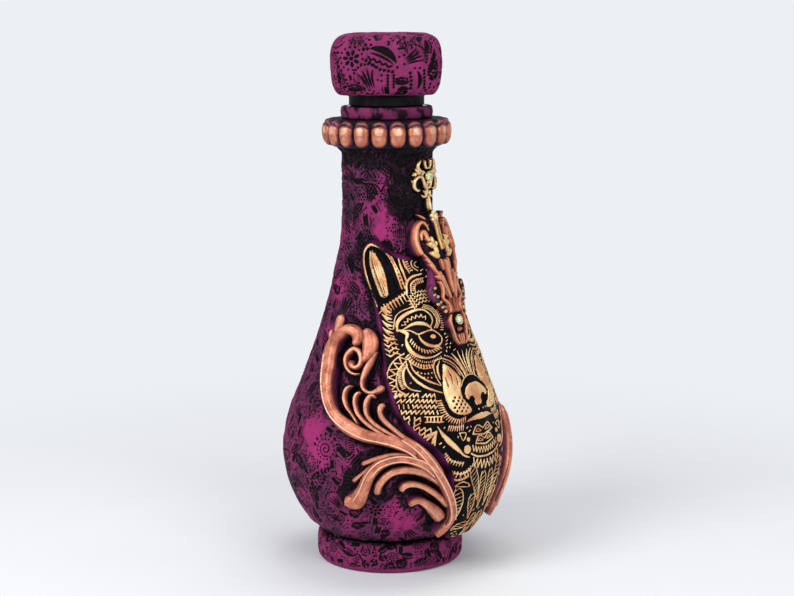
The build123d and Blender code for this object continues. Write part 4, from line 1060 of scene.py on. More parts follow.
# Room between the lines takes small pricked pips, and the rim stays bare
near_line = gold_lines > 0.05
for axis in (0, 1):
    near_line |= np.roll(near_line, 2, axis) | np.roll(near_line, -2, axis)
    near_line |= np.roll(near_line, 2, axis) | np.roll(near_line, -2, axis)
pip_climb, pip_gap = 1.9, 2.0
for run in np.arange(wolf.runs[0], wolf.runs[-1], pip_climb):
    step_angle = pip_gap / float(skin_curve.radius(run))
    for angle in np.arange(wolf.angles[0], wolf.angles[-1], step_angle):
        row = int(np.searchsorted(wolf.runs, run))
        column = int(np.searchsorted(wolf.angles, angle))
        tilt, chance = wolf_draw.uniform(-0.9, 0.9), wolf_draw.uniform()
        if chance < 0.6 and row < wolf.shape[0] and column < wolf.shape[1] and not near_line[row, column]:
            if in_mask[row, column] > 3.2 and in_ears[row, column] < 0:
                pip = [(angle - 0.5 * step_angle * tilt, run), (angle + 0.3 * step_angle, run + 0.6)]
                wolf.stroke(gold_lines, pip, 0.6)

rim_clear = eased(in_mask, 1.4, 2.6)
gold_lines *= np.maximum(rim_clear, 0.35 * eased(in_ears, 0, 1))
nostrils = wolf.blank()
for side in (-1, 1):
    wolf.stroke(nostrils, on_face([(5, 96.2), (5.4, 95.2)], side), 4.4)
    wolf.stroke(nostrils, on_face([(0, 93.8), (0, 90.8)], side), (0.5, 0.9))
    for streak in (
            [(15.6, 112.4), (14.6, 109), (15.2, 105)], [(18.8, 109), (18.2, 104.4)],
            [(11.2, 108.6), (11.8, 104.6)]):
        wolf.stroke(nostrils, on_face(streak, side), (0.3, 0.75, 0.3)[:len(streak)], 0.8)
    for pad_row in range(5):
        for pad_step in range(4 if pad_row % 2 else 3):
            angle = 9.8 + pad_step * 2.6 + (0 if pad_row % 2 else 1.3)
            height = 98.2 - pad_row * 1.7 + 0.12 * (angle - 14)
            wolf.stroke(nostrils, on_face([(angle, height)], side), 1.2)
gold_lines = np.clip(gold_lines - nostrils, 0, 1)
wolf_proud += line_rise * gold_lines * eased(in_mask, 0.2, 1.4) - 0.6 * nostrils
wolf_proud += 0.12 * clouds(wolf, 6, 52) * eased(in_mask, 0.5, 3)


def cast_sheet(name, sheet, proud, keep, finish, layers):
    """A casting that follows the skin: its front, a plain back under the skin and the edge between.
    Each layer has its values on the front and one value for the back."""
    total = sheet.shape[0] * sheet.shape[1]
    number = np.arange(total).reshape(sheet.shape)
    here = keep[:-1, :-1] & keep[:-1, 1:] & keep[1:, 1:] & keep[1:, :-1]
    corners = np.stack([number[:-1, :-1], number[:-1, 1:], number[1:, 1:], number[1:, :-1]], -1)
    padded = np.pad(here, 1)
    sides = []
    for shift, first, last in (((0, 1), 0, 1), ((1, 2), 1, 2), ((2, 1), 2, 3), ((1, 0), 3, 0)):
        beyond = padded[shift[0]:shift[0] + here.shape[0], shift[1]:shift[1] + here.shape[1]]
        sides.append(corners[here & ~beyond][:, (last, first)])
    rim = np.vstack(sides)
    rim = np.hstack([rim, rim[:, ::-1] + total])
    faces = np.vstack([corners[here], corners[here][:, ::-1] + total, rim])
    used, compact = np.unique(faces, return_inverse=True)
    points = np.vstack([sheet.raised(height).reshape(-1, 3) for height in (proud, casting_back)])[used]
    carried = {key: np.append(values, np.full(total, back))[used] for key, (values, back) in layers.items()}
    return build(name, points, compact.reshape(-1, 4), finish, carried)


wolf_paint = Finish("gold_clay", roughness=0.4)
raised = wolf_paint.layer("gold")
uneven = wolf_paint.blotches(1.3, 0.3, 0.7, -0.22, 0.18, detail=4, rough=0.7)
rubbed = wolf_paint.step(wolf_paint.maths("ADD", raised, uneven), 0.42, 0.72)
gold_tone = wolf_paint.mix(wolf_paint.blotches(9, 0.4, 0.64, detail=3), srgb(240, 202, 150),
                           srgb(212, 150, 104))
gold_tone = wolf_paint.mix(wolf_paint.blotches(22, 0.56, 0.7, 0.0, 0.5, detail=3), gold_tone,
                           srgb(206, 120, 96))
ground = wolf_paint.mix(wolf_paint.blotches(8, 0.5, 0.75, detail=4), srgb(6, 5, 8), srgb(30, 15, 30))
ground = wolf_paint.mix(wolf_paint.layer("rim"), ground, srgb(112, 38, 92))
wolf_paint.colour(wolf_paint.mix(rubbed, ground, gold_tone))
wolf_paint.metal(wolf_paint.step(rubbed, 0.1, 0.9, 0.0, 0.4))
wolf_paint.rough(wolf_paint.step(rubbed, 0.0, 1.0, 0.52, 0.38))
wolf_paint.grain(wolf_paint.speckle(0.8, detail=3), 0.12, strength=0.6)
wolf_paint.give({"Specular IOR Level": 0.06})

rim_share = eased(in_mask, -1.0, 0.4) * (1 - eased(in_mask, 1.6, 2.8))
rim_share *= np.clip(0.3 + 1.1 * clouds(wolf, 22, 53), 0, 1)
wolf_piece = cast_sheet("wolf_mask", wolf, wolf_proud, in_mask > -1.4, wolf_paint,
                        {"gold": (gold_lines, 0), "rim": (rim_share, 0)})
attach(wolf_piece, "bottle")
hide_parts("wolf_casting")

# Acanthus scrolls
# One scroll each side of the mask, each a single casting: a stem that curls over at the top and throws
# leaves off both sides. They are painted black, then rubbed with copper, with purple left on the sides.
scroll_near, scroll_sweep = 16.0, 82.0
scroll_low, scroll_tall = 23.0, 115.0
stem_width, leaf_width = 6.6, 2.9
stem_proud, leaf_proud = 9.3, 7.4


def strip(casting, rows, base, top, shoulder=0.5, dish=0.0, sections=15, power=0.85, shine=1.0):
    """A strip on the skin with rounded ends: rows give angle, run and width along its middle."""
    path = faired_line(rows, step=0.9)
    angle, run, width = path[:, 0], path[:, 1], np.maximum(path[:, 2], 0.2)
    radius = skin_curve.radius(run)
    ahead_x, ahead_y = np.gradient(angle) * radius, np.gradient(run)
    size = np.maximum(np.hypot(ahead_x, ahead_y), 1e-6)
    along = np.concatenate([[0], np.cumsum(size[1:])])
    half = width / 2
    ends = along / (half[0] + 0.6), (along[-1] - along) / (half[-1] + 0.6)
    taper = np.minimum(*(np.sqrt(1 - (1 - np.clip(end, 0, 1)) ** 2) for end in ends))
    turn = np.linspace(-math.pi / 2, math.pi / 2, sections)
    side = np.concatenate([[-1.05], np.sin(turn), [1.05]])
    crown = np.concatenate([[0], np.cos(turn) ** power, [0]])
    rise = np.concatenate([[0], shoulder + (1 - shoulder) * np.cos(turn) ** power, [0]])
    rise = rise - dish * np.exp(-(side / 0.34) ** 2) * (crown > 0)
    crown = np.clip(crown - 3.2 * dish * np.exp(-((side - 0.08) / 0.42) ** 2), 0, 1)
    base, top = (level(run) if callable(level) else np.full(len(path), float(level)) for level in (base, top))
    off = side[None, :] * (half * taper)[:, None]
    proud = base[:, None] + (top - base)[:, None] * rise[None, :] * (0.35 + 0.65 * taper)[:, None]
    place_angle = angle[:, None] - off * (ahead_y / size / radius)[:, None]
    place_run = run[:, None] + off * (ahead_x / size)[:, None]
    points = skin_curve.place(place_angle, place_run, proud)
    ridge = shine * np.broadcast_to(crown, (len(path), len(side))) * (0.25 + 0.75 * taper)[:, None]
    faces = grid_faces(len(path), len(side), True)
    casting.add(points, faces[:, ::-1], ridge)


def scroll_rows(shares, width):
    rows = np.array(shares)
    angles, heights = scroll_near + scroll_sweep * rows[:, 0], scroll_low + scroll_tall * rows[:, 1]
    return np.column_stack([at(np.column_stack([angles, heights]), -1), rows[:, 2] * width])


stem = [
    (0.742, 0.882, 0.2), (0.716, 0.904, 0.7), (0.71, 0.926, 0.95), (0.735, 0.947, 1.0), (0.785, 0.957, 0.95),
    (0.84, 0.95, 0.88), (0.893, 0.926, 0.9), (0.935, 0.892, 0.96), (0.952, 0.84, 1.15), (0.942, 0.786, 1.2),
    (0.929, 0.733, 1.05), (0.9, 0.678, 0.9), (0.852, 0.619, 0.83), (0.79, 0.572, 0.92), (0.696, 0.531, 1.1),
    (0.595, 0.502, 0.97), (0.507, 0.49, 0.9), (0.42, 0.474, 0.9), (0.346, 0.45, 0.85), (0.283, 0.417, 0.85)]
trunk = [
    (0.38, 0.495, 0.46), (0.324, 0.467, 0.67), (0.275, 0.434, 0.85), (0.23, 0.394, 1.0), (0.19, 0.351, 1.0),
    (0.15, 0.305, 0.8), (0.116, 0.26, 0.72), (0.083, 0.21, 0.68), (0.06, 0.16, 0.64), (0.054, 0.12, 0.64),
    (0.07, 0.09, 0.62), (0.1, 0.064, 0.45), (0.138, 0.044, 0.15)]
drop = [
    (0.725, 0.225, 0.4), (0.69, 0.223, 1.0), (0.646, 0.226, 1.3), (0.606, 0.271, 1.0), (0.566, 0.336, 0.84),
    (0.517, 0.378, 0.8), (0.454, 0.4, 0.67), (0.382, 0.407, 0.6), (0.314, 0.396, 0.67), (0.25, 0.373, 0.75),
    (0.19, 0.332, 0.76)]
crook_side = [
    (0.668, 0.965, 0.35), (0.628, 0.945, 0.85), (0.604, 0.914, 1.15), (0.602, 0.882, 1.15), (0.618, 0.847, 0.8),
    (0.65, 0.812, 0.2)]
volute = [
    (0.655, 0.766, 0.2), (0.7, 0.76, 0.45), (0.75, 0.77, 0.6), (0.79, 0.797, 0.7), (0.802, 0.83, 0.8),
    (0.78, 0.856, 0.95), (0.735, 0.874, 1.05), (0.688, 0.858, 1.05), (0.668, 0.825, 0.95), (0.685, 0.797, 0.85),
    (0.725, 0.79, 0.95), (0.753, 0.81, 1.4), (0.738, 0.823, 1.9)]
hook = [
    (0.539, 0.869, 0.4), (0.572, 0.84, 0.9), (0.6, 0.811, 1.26), (0.625, 0.78, 1.2), (0.641, 0.749, 0.9),
    (0.644, 0.718, 0.78), (0.624, 0.695, 0.7), (0.583, 0.683, 0.7), (0.541, 0.69, 0.96), (0.507, 0.703, 1.4),
    (0.482, 0.717, 0.78)]
leaves = [
    [(0.71, 0.713, 0.4), (0.751, 0.695, 0.8), (0.763, 0.668, 0.8), (0.756, 0.644, 0.8), (0.733, 0.617, 0.7),
     (0.694, 0.59, 0.5), (0.64, 0.545, 0.4)],
    [(0.642, 0.687, 0.45), (0.676, 0.672, 0.8), (0.683, 0.645, 0.8), (0.672, 0.617, 0.8), (0.651, 0.59, 0.8),
     (0.6, 0.557, 0.8), (0.53, 0.524, 0.7), (0.471, 0.503, 0.6)],
    [(0.536, 0.662, 0.67), (0.574, 0.672, 0.7), (0.601, 0.648, 1.0), (0.604, 0.609, 0.93), (0.579, 0.575, 0.8),
     (0.52, 0.541, 0.78), (0.44, 0.508, 0.7), (0.374, 0.48, 0.6)],
    [(0.471, 0.636, 0.6), (0.503, 0.627, 1.15), (0.51, 0.6, 0.96), (0.486, 0.569, 1.0), (0.436, 0.537, 0.9),
     (0.377, 0.501, 1.0), (0.33, 0.471, 1.3)],
    [(0.618, 0.381, 0.74), (0.568, 0.396, 0.9), (0.506, 0.413, 0.78), (0.433, 0.426, 0.65), (0.366, 0.423, 0.7),
     (0.303, 0.409, 0.9), (0.243, 0.385, 1.0)],
    [(0.667, 0.304, 0.9), (0.625, 0.332, 0.65), (0.568, 0.369, 0.6), (0.517, 0.395, 0.6)],
    [(0.524, 0.249, 1.25), (0.516, 0.288, 1.37), (0.482, 0.326, 1.37), (0.434, 0.351, 1.33),
     (0.372, 0.359, 1.37), (0.305, 0.355, 1.5), (0.241, 0.338, 1.5), (0.18, 0.308, 1.37), (0.127, 0.269, 1.07),
     (0.083, 0.22, 0.8)],
    [(0.39, 0.263, 0.9), (0.371, 0.289, 1.15), (0.331, 0.298, 1.03), (0.278, 0.29, 0.96), (0.219, 0.266, 1.07),
     (0.151, 0.227, 1.15), (0.081, 0.177, 1.18)],
    [(0.334, 0.195, 0.9), (0.317, 0.216, 1.07), (0.275, 0.221, 1.15), (0.216, 0.192, 1.67), (0.152, 0.148, 2.3),
     (0.1, 0.106, 2.1)]]
buds = [
    [(0.956, 1.024, 0.9), (0.966, 1.002, 1.9), (0.976, 0.972, 2.0), (0.982, 0.948, 1.2), (0.984, 0.93, 0.4)],
    [(1.042, 0.952, 0.7), (1.046, 0.928, 1.1), (1.04, 0.904, 0.4)]]
stem_parts, leaf_parts = [stem, trunk, drop, crook_side], leaves + [volute, hook]
ridges = ((stem[8:], -1.7, 1.5), (trunk[:-2], -1.2, 1.5), (trunk[1:-3], 1.3, 1.4), (drop[4:], -1.1, 1.2),
          (drop[2:], 1.3, 1.3))
ridge_places = 40
for side_name, mirrored in (("left", False), ("right", True)):
    scroll = Casting()
    for rows in stem_parts:
        strip(scroll, scroll_rows(rows, stem_width), wolf_seat, stem_proud, dish=0.03, sections=23, power=0.55,
              shine=0.89)
    for rows, off, wide in ridges:
        edge = beside(scroll_rows(rows, 1), ridge_places, off)
        strip(scroll, np.column_stack([edge, np.full(ridge_places, wide)]), leaf_proud, stem_proud + 0.25,
              shoulder=0.1,
              sections=9)
    for rows in leaf_parts:
        strip(scroll, scroll_rows(rows, leaf_width), wolf_seat, leaf_proud, dish=0.04, sections=19, power=0.65,
              shine=0.97)
    piece = scroll.finished("acanthus_" + side_name, copper_paint, mirrored)
    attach(piece, "bottle")
    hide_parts("scroll_" + side_name)
loose = Casting()
for rows in buds:
    strip(loose, scroll_rows(rows, leaf_width), wolf_seat, 4.2, shine=0.9)
bud_piece = Casting().add_pair(loose).finished("acanthus_buds", copper_paint)
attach(bud_piece, "bottle")
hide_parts("scroll_buds")

# Crest
# A pointed plate lies over the forehead and the foot of the neck, black with purple left at its edge.
# Curled leaves, ribbed bars, fingers and petals lie on it, all cast with it and rubbed with copper and gold.
crest_edge = [
    (0, 191.2), (9, 191.6), (16, 190.4), (20.5, 187), (22.5, 181), (21, 175), (19.8, 169.7), (17, 165),
    (18.4, 160), (20.8, 155), (18.2, 149.8), (13, 145.2), (10.6, 139.7), (8.4, 133.2), (7, 127.8), (3.4, 121.5),
    (0, 119.6)]
crest_levels = [
    (113, 6.8), (122, 8.9), (132, 9.9), (150, 10.2), (165, 9.8), (174, 8.6), (182, 7.1), (191, 5.4), (200, 3.4)]
crest_pitch, crest_low, crest_high, crest_side = 0.32, 113, 193, 30
crest = Sheet(skin_curve, crest_pitch, crest_low, crest_high, -crest_side, crest_side)


def crest_ground(run):
    """How proud of the skin the plate's face lies, at a run of the sheet."""
    heights, levels = np.array(crest_levels).T
    return np.interp(skin_curve.height(run), heights, levels)


def on_crest(rows, side=1):
    """Places for lines whose heights are those of the plate's face, which leans forward below the neck."""
    rows = np.asarray(rows, float)
    placed = at(rows[:, :2], side)
    rise = skin_curve.facing(placed[:, 1])[1] * np.clip((rows[:, 1] - 119) / 12, 0, 1)
    placed[:, 1] -= rise * (crest_ground(placed[:, 1]) + 1.5)
    return placed


in_crest = crest.inside(faired_line(both_halves(crest_edge, on_crest), 1.2, closed=True), 6)
crest_proud = wolf_seat + (crest_ground(crest.runs)[:, None] - wolf_seat) * eased(in_crest, -0.9, 0.8)
crest_proud += 0.25 * clouds(crest, 5, 61) * eased(in_crest, 0.4, 2)
left_purple = 1 - 0.85 * eased(crest.heights, 158, 170)
left_purple = left_purple * eased(in_crest, -0.6, 0.4) * (1 - eased(in_crest, 1.6, 3.2))
crest_smear = 1 - left_purple * np.clip(0.35 + 0.6 * clouds(crest, 14, 62), 0, 1)
plate_piece = cast_sheet("crest_ground", crest, crest_proud, in_crest > -1.1, clay,
                         {"cut": (crest.blank(), 0), "smear_and_shade": (crest_smear, 1)})
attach(plate_piece, "bottle")
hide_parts("crest_plate")


def on_skin(rows):
    """Degrees, heights and widths, as angles, runs and widths on the wolf's right side."""
    rows = np.asarray(rows, float)
    return np.column_stack([on_crest(rows, -1), rows[:, 2]])


def lifted(rise):
    return lambda run: crest_ground(run) + rise


def cast_on(casting, lines, base, top, **shape):
    for rows in lines:
        strip(casting, on_skin(rows), base, top, **shape)


curl = [(12, 187, 1.4), (16, 190, 2.4), (21, 189.8, 3.2), (25.2, 186.6, 3.8), (27, 181.6, 4.0),
        (25.6, 176.8, 3.6), (22.2, 172.8, 2.8)]
curl_eye = [(21.6, 180.2, 1.4), (21.2, 184, 2.6), (17.8, 185.4, 3.6), (15.4, 182.6, 3.4), (17.2, 180.2, 2.2)]
curl_tips = [
    [(12.5, 191.4, 1.2), (17, 193, 1.7), (22.5, 194.6, 0.4)],
    [(10, 187.6, 1.0), (13, 188.8, 1.6), (11.5, 184.8, 0.6)]]
bar_rib = [(21.8, 172.8, 1.35), (16.4, 168.4, 1.5), (11.4, 163.8, 1.2)]
bar_ribs = [[(angle - off, height - 1.3 * off, width) for angle, height, width in bar_rib]
            for off in (-1.6, 0.6, 2.8)]
bar_foot = [(14, 162.6, 1.6), (11, 161.2, 2.8), (7.4, 159.8, 2.2), (5.4, 157.6, 1.0)]
long_strip = [(9, 163.4, 3.0), (7, 159.4, 3.6), (4.8, 154.4, 3.2), (2.6, 148.8, 2.0)]
wave = [(13, 159.6, 1.4), (9.6, 157.4, 2.2), (9.4, 153.4, 2.2), (10.8, 150.2, 1.8), (7.4, 148, 2.2),
        (5.4, 144.6, 2.4), (7.2, 141.6, 0.8)]
flecked = [(17.6, 158.6, 1.2), (19.4, 154.6, 2.8), (16.8, 150.4, 3.2), (12.6, 146.6, 2.2), (10.6, 143.6, 0.8)]
lower_edge = [
    (6, 142, 0.8), (8.2, 137.6, 2.2), (7.2, 133.2, 1.8), (6.4, 130.6, 2.2), (5.6, 126.6, 2.0),
    (2.6, 122.4, 1.4)]
leaves_left = Casting()
cast_on(leaves_left, [curl, curl_eye], wolf_seat, lifted(2.2), shoulder=0.62)
cast_on(leaves_left, curl_tips + bar_ribs + [bar_foot, long_strip, wave, lower_edge], lifted(-2), lifted(1.9))
cast_on(leaves_left, [flecked], lifted(-2), lifted(1.6), shine=0.12)
# Its third colour is the painted highlight on the crowns.
crest_copper = rubbed_clay("crest_copper", srgb(138, 70, 54), srgb(186, 104, 76), srgb(238, 172, 132),
                           srgb(54, 26, 32))
leaves_piece = Casting().add_pair(leaves_left).finished("crest_scrolls", crest_copper)
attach(leaves_piece, "bottle")
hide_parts("crest_leaves")

# Gold bar and combs of the crest
# A fluted rod down the middle, with a small comb each side of it, rubbed with gold instead of copper.
# Its third colour is the painted highlight on the crowns.
gold_paint = rubbed_clay("gold_rubbed_clay", srgb(206, 158, 92), srgb(232, 194, 124), srgb(250, 224, 168),
                         srgb(128, 78, 40))
rod = Casting()
rod_rows = [(0, 191.4, 2.7), (0, 186, 3.0), (0, 180, 3.0), (0, 174.6, 2.4)]
strip(rod, on_skin(rod_rows), lifted(-2), lifted(2.9), dish=0.16, shoulder=0.6)
comb_left = Casting()
comb = [[(16.4, 179.4, 2.4), (11.4, 178.2, 3.4), (5.8, 176.2, 3.2)], [(14.4, 183, 1.8), (14, 179.6, 2.2)],
        [(10.2, 183, 1.8), (10, 178.6, 2.4)], [(6.2, 180.6, 1.6), (6.2, 177, 2.0)],
        [(8.4, 178, 2.6), (7.4, 172.6, 2.6)],
        [(15.6, 174.6, 2.2), (10.4, 173.2, 3.4), (5.2, 171, 3.0)]]
cast_on(comb_left, comb, lifted(-2), lifted(2.1), shoulder=0.6)
flecks = [[(angle, height, 3.0), (angle - 2.2, height - 2, 2.2)] for angle, height in (
    (18, 157), (19.4, 153.6), (16.8, 152.4), (15, 149.4), (17, 148.6), (13.4, 146.8), (11.6, 144.4))]
cast_on(comb_left, flecks, lifted(0), lifted(1.9))
rod.add_pair(comb_left)
rod_piece = rod.finished("crest_rod", gold_paint)
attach(rod_piece, "bottle")
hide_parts("crest_bar")

# Fingers and petals of the crest
# A spoon-shaped finger on the middle line, a thin one each side, and fluted petals that fan over the stone.
flower_left = Casting()
cast_on(flower_left, [[(4.6, 171.2, 1.8), (4.6, 167.6, 2.2), (4.2, 164, 1.0)]], lifted(-2), lifted(1.5))
cast_on(flower_left, [[(8.6, 165, 2.4), (7.6, 160, 2.9), (6, 154, 2.3), (5, 150.4, 1.0)]], lifted(-2),
        lifted(1.2))
for lean, tip in ((3.4, 150.4), (7.2, 149.2), (10.6, 146.6)):
    petal = [(1.2 + lean * 0.22, 141.6, 1.1), (1.2 + lean * 0.66, 145, 2.0), (lean + 0.8, tip, 1.3)]
    cast_on(flower_left, [petal], lifted(-2), lifted(1.7), dish=0.12)
fingers = Casting().add_pair(flower_left)
middle_finger = [(0, 170.4, 3.0), (0, 168.4, 4.1), (0, 163, 3.0), (0, 157, 2.3), (0, 151.6, 1.8)]
strip(fingers, on_skin(middle_finger), lifted(-2), lifted(2.6))
strip(fingers, on_skin([(0, 151, 1.6), (0, 146, 2.1), (0, 141.8, 1.2)]), lifted(-2), lifted(2.0), dish=0.12)
flower_piece = fingers.finished("crest_fingers", crest_copper)
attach(flower_piece, "bottle")
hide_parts("crest_flower")

# Drop of the crest
# A square block under the stone and three flutes that run together into the crest's point.
drop_cast = Casting()
strip(drop_cast, on_skin([(0, 134.8, 4.4), (0, 131.4, 4.2)]), lifted(-2), lifted(1.7), shoulder=0.8)
for lean in (-2.6, 0, 2.6):
    flute = [(lean, 131.4, 1.5), (lean * 0.8, 127, 1.5), (lean * 0.25, 122.4, 0.9)]
    strip(drop_cast, on_skin(flute), lifted(-2), lifted(1.6))
drop_piece = drop_cast.finished("crest_point", crest_copper)
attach(drop_piece, "bottle")
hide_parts("crest_drop")

# Stones and their settings
# Both stones are faceted glass with a rainbow coat, glued in a stamped cup whose rim is a ring of grains.
gilt = Finish("gilt_metal", roughness=0.34, metallic=0.75)
gilt_crown = gilt.layer("ridge")
gilt_tone = gilt.mix(gilt.blotches(3, 0.35, 0.65, detail=3), srgb(196, 156, 104), srgb(226, 192, 140))
# Near-white gold on the highest crowns: a painted highlight.
gilt_tone = gilt.mix(gilt.step(gilt_crown, 0.75, 1.0, 0, 0.6), gilt_tone, srgb(248, 230, 194))
gilt_dark = gilt.mix(gilt.speckle(2), srgb(38, 26, 26), srgb(92, 56, 46))
gilt.colour(gilt.mix(gilt.step(gilt_crown, 0.08, 0.4), gilt_dark, gilt_tone))
gilt.rough(gilt.blotches(1.2, 0.3, 0.7, 0.26, 0.46, detail=3))
gilt.grain(gilt.speckle(0.6, detail=2), 0.06, strength=0.5)

stone = Finish("rainbow_stone", roughness=0.06, metallic=0.25)
flash = stone.mix(stone.blotches(2.6, 0.42, 0.56, detail=1), srgb(120, 214, 214), srgb(238, 236, 140))
# The near-white patches over the flash are painted glints.
stone.colour(stone.mix(stone.blotches(1.3, 0.5, 0.62, 0.0, 0.6, detail=1), flash, srgb(250, 252, 248)))
stone.rough(stone.blotches(1.5, 0.3, 0.7, 0.04, 0.12))
stone.give({"Coat Weight": 1.0, "Coat Roughness": 0.03})


class Seat:
    """A spot on the skin with its own axes: across it, up along it and straight out."""

    def __init__(self, angle, height, proud):
        run = skin_curve.run(height)
        turn = math.radians(angle)
        out, rise = skin_curve.facing(run)
        self.middle = skin_curve.place(np.array(turn), run, proud)
        self.out = np.array([out * math.sin(turn), -out * math.cos(turn), rise])
        self.across = np.array([math.cos(turn), math.sin(turn), 0])
        self.along = np.cross(self.out, self.across)

    def rings(self, radii, heights, count, spun=0.0):
        """Rings of points about the way out, as a small turned piece has them."""
        turns = (np.arange(count) + spun) * full_turn / count
        ring = np.cos(turns)[:, None] * self.across + np.sin(turns)[:, None] * self.along
        radii, heights = np.asarray(radii, float), np.asarray(heights, float)
        return self.middle + radii[:, None, None] * ring + heights[:, None, None] * self.out

    def moved(self, across, along, out):
        spot = Seat.__new__(Seat)
        spot.out, spot.across, spot.along = self.out, self.across, self.along
        spot.middle = self.middle + across * self.across + along * self.along + out * self.out
        return spot


def ball(casting, seat, radius, rows=11, count=16):
    turns = np.linspace(-math.pi / 2, math.pi / 2, rows)
    points = seat.rings(np.maximum(radius * np.cos(turns), 0.01), radius * np.sin(turns), count)
    casting.add(points, grid_faces(rows, count, True), np.full(rows * count, 0.9))


def cut_stone(name, seat, radius, node):
    """A round stone: eight-sided table, kite and break facets, girdle and a pointed back."""
    table = seat.rings([radius * 0.52], [radius * 0.5], 8)[0]
    kite = seat.rings([radius * 0.8], [radius * 0.34], 8, 0.5)[0]
    girdle = seat.rings([radius], [0], 16)[0]
    tips = np.stack([seat.middle + seat.out * radius * 0.5, seat.middle - seat.out * radius * 0.4])
    points = np.vstack([table, kite, girdle, tips])
    faces = []
    for index in range(8):
        after = (index + 1) % 8
        edge, next_edge = 16 + 2 * index, 16 + 2 * after
        faces += [(32, index, after), (index, 8 + index, after), (8 + index, 8 + after, after)]
        faces += [(edge, edge + 1, 8 + index), (edge + 1, next_edge, 8 + index),
                  (next_edge, 8 + after, 8 + index)]
    for index in range(16):
        faces.append((33, 16 + (index + 1) % 16, 16 + index))
    piece = build(name, points, np.array(faces), stone, smooth=False)
    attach(piece, "bottle")
    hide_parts(node)


def stone_cup(name, seat, radius, grains, node):
    """The cup that holds a stone, with small grains round its rim."""
    cup = Casting()
    radii = radius * np.array([0.02, 0.9, 1.1, 1.16, 1.1, 0.98, 0.9, 0.02])
    points = seat.rings(radii, np.array([-1.2, -1.2, -1.1, -0.3, 0.25, 0.3, -0.1, -0.1]) * radius * 0.5, 32)
    ridge = np.repeat([0, 0, 0.2, 0.7, 1, 0.6, 0, 0], 32)
    cup.add(points, grid_faces(8, 32, True), ridge)
    for index in range(grains):
        turn = full_turn * index / grains
        grain = seat.moved(math.cos(turn) * radius * 1.12, math.sin(turn) * radius * 1.12, radius * 0.14)
        ball(cup, grain, radius * 0.16)
    piece = cup.finished(name, gilt)
    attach(piece, "bottle")
    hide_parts(node)


crest_stone = Seat(0, 134.8, 11.7)
stone_cup("crest_cup", crest_stone, 2.3, 14, "crest_setting")
cut_stone("crest_stone", crest_stone, 2.1, "crest_gem")
charm_stone = Seat(0, 214.2, 3.4)
stone_cup("charm_cup", charm_stone, 2.3, 16, "charm_setting")
cut_stone("charm_stone", charm_stone, 2.2, "charm_gem")

# Neck charm
# A stamped filigree finding: leaves above, long curls round the stone and a small knot of curls below.
charm_left, charm_bold = Casting(), 1.12
charm_lines = [
    [(10.4, 223.4, 0.5), (14.2, 221.6, 1.3), (15.6, 219.4, 1.8), (12.6, 217.4, 1.6), (7.4, 216.6, 1.3),
     (4.6, 215.2, 1.0)],
    [(7.6, 214.2, 1.3), (9.4, 215.6, 1.4), (6.4, 216.6, 1.2)],
    [(4.6, 223.4, 0.9), (5.4, 221.2, 1.2), (3.6, 218.9, 1.3), (0, 217.9, 1.3)],
    [(18, 218.6, 1.4), (14.8, 216.6, 2.2), (12, 215, 1.6)],
    [(22.6, 214.8, 1.4), (19, 215.8, 2.2), (15.6, 215.8, 1.4)],
    [(23.2, 212.8, 1.1), (23.6, 210.8, 0.7)],
    [(12.4, 207.4, 0.9), (16.2, 206.8, 1.4), (20.4, 208.8, 1.7), (20, 212, 1.6), (15, 214, 1.6),
     (9.6, 213.8, 1.6), (6.6, 211.2, 1.6), (4.6, 208.6, 1.5), (0, 207.4, 1.5)],
    [(6, 206.4, 1.0), (3.6, 205.6, 1.5), (3.6, 203.6, 1.4), (7.6, 203.2, 1.2), (9, 204.4, 0.7)]]
charm_lines = [[(angle, height, width * charm_bold) for angle, height, width in rows] for rows in charm_lines]
cast_on(charm_left, charm_lines, -0.4, 3.2, shoulder=0.55, sections=9)
charm = Casting().add_pair(charm_left)
strip(charm, on_skin([(0, 212, 2.0), (0, 209.6, 2.4), (0, 206.6, 2.2), (0, 203.6, 1.2)]), -0.4, 2.5)
for lean in (-1, 1):
    ball(charm, Seat(lean * 1.6, 210.9, 2.9), 0.75)
charm_piece = charm.finished("charm_filigree", gilt)
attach(charm_piece, "bottle")
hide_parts("neck_charm")

# Charm link
# A short flat rod hangs from the charm and ends in a knot of grains over the crest.
link = Casting()
strip(link, on_skin([(0, 204.2, 1.4), (0, 202, 2.2), (0, 198.4, 2.5), (0, 195.2, 2.2)]), 0.2,
      lambda run: np.interp(skin_curve.height(run), (195, 204), (5.6, 3.4)), shoulder=0.4)
for across, height, proud, radius in (
        (0, 194.6, 5.0, 1.1), (-1.5, 192.9, 5.2, 1.3), (1.5, 192.9, 5.2, 1.3), (0, 192.2, 6.0, 1.6),
        (-1.2, 190.6, 5.6, 1.2), (1.2, 190.6, 5.6, 1.2), (0, 189.8, 4.8, 1.0)):
    ball(link, Seat(0, height, proud + 0.9).moved(across, 0, 0), radius * 1.15)
link_piece = link.finished("charm_rod", gilt)
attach(link_piece, "bottle")
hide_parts("charm_link")

# Black wash and painted shade
# Once the castings are glued on, thin black paint is run round them and under the collar, and wiped back. The
# dark band round the castings is partly that black paint and partly painted shade beside their raised edges.
around = skin.blank() + 30.0
for side in (-1, 1):
    for rows in stem_parts + leaf_parts:
        placed = scroll_rows(rows, stem_width)[:, :2] * (-side, 1)
        around = np.minimum(around, skin.nearness(faired_line(placed, 3.0), 12) - 2.6)
mask_reach = skin.inside(faired_line(both_halves(wolf_outline), 3.0, closed=True), 12)
around = np.minimum(around, -mask_reach)
smear_and_shade_edge = 3.4 + 2.2 * clouds(skin, 17, 71) + 0.8 * clouds(skin, 5, 72)
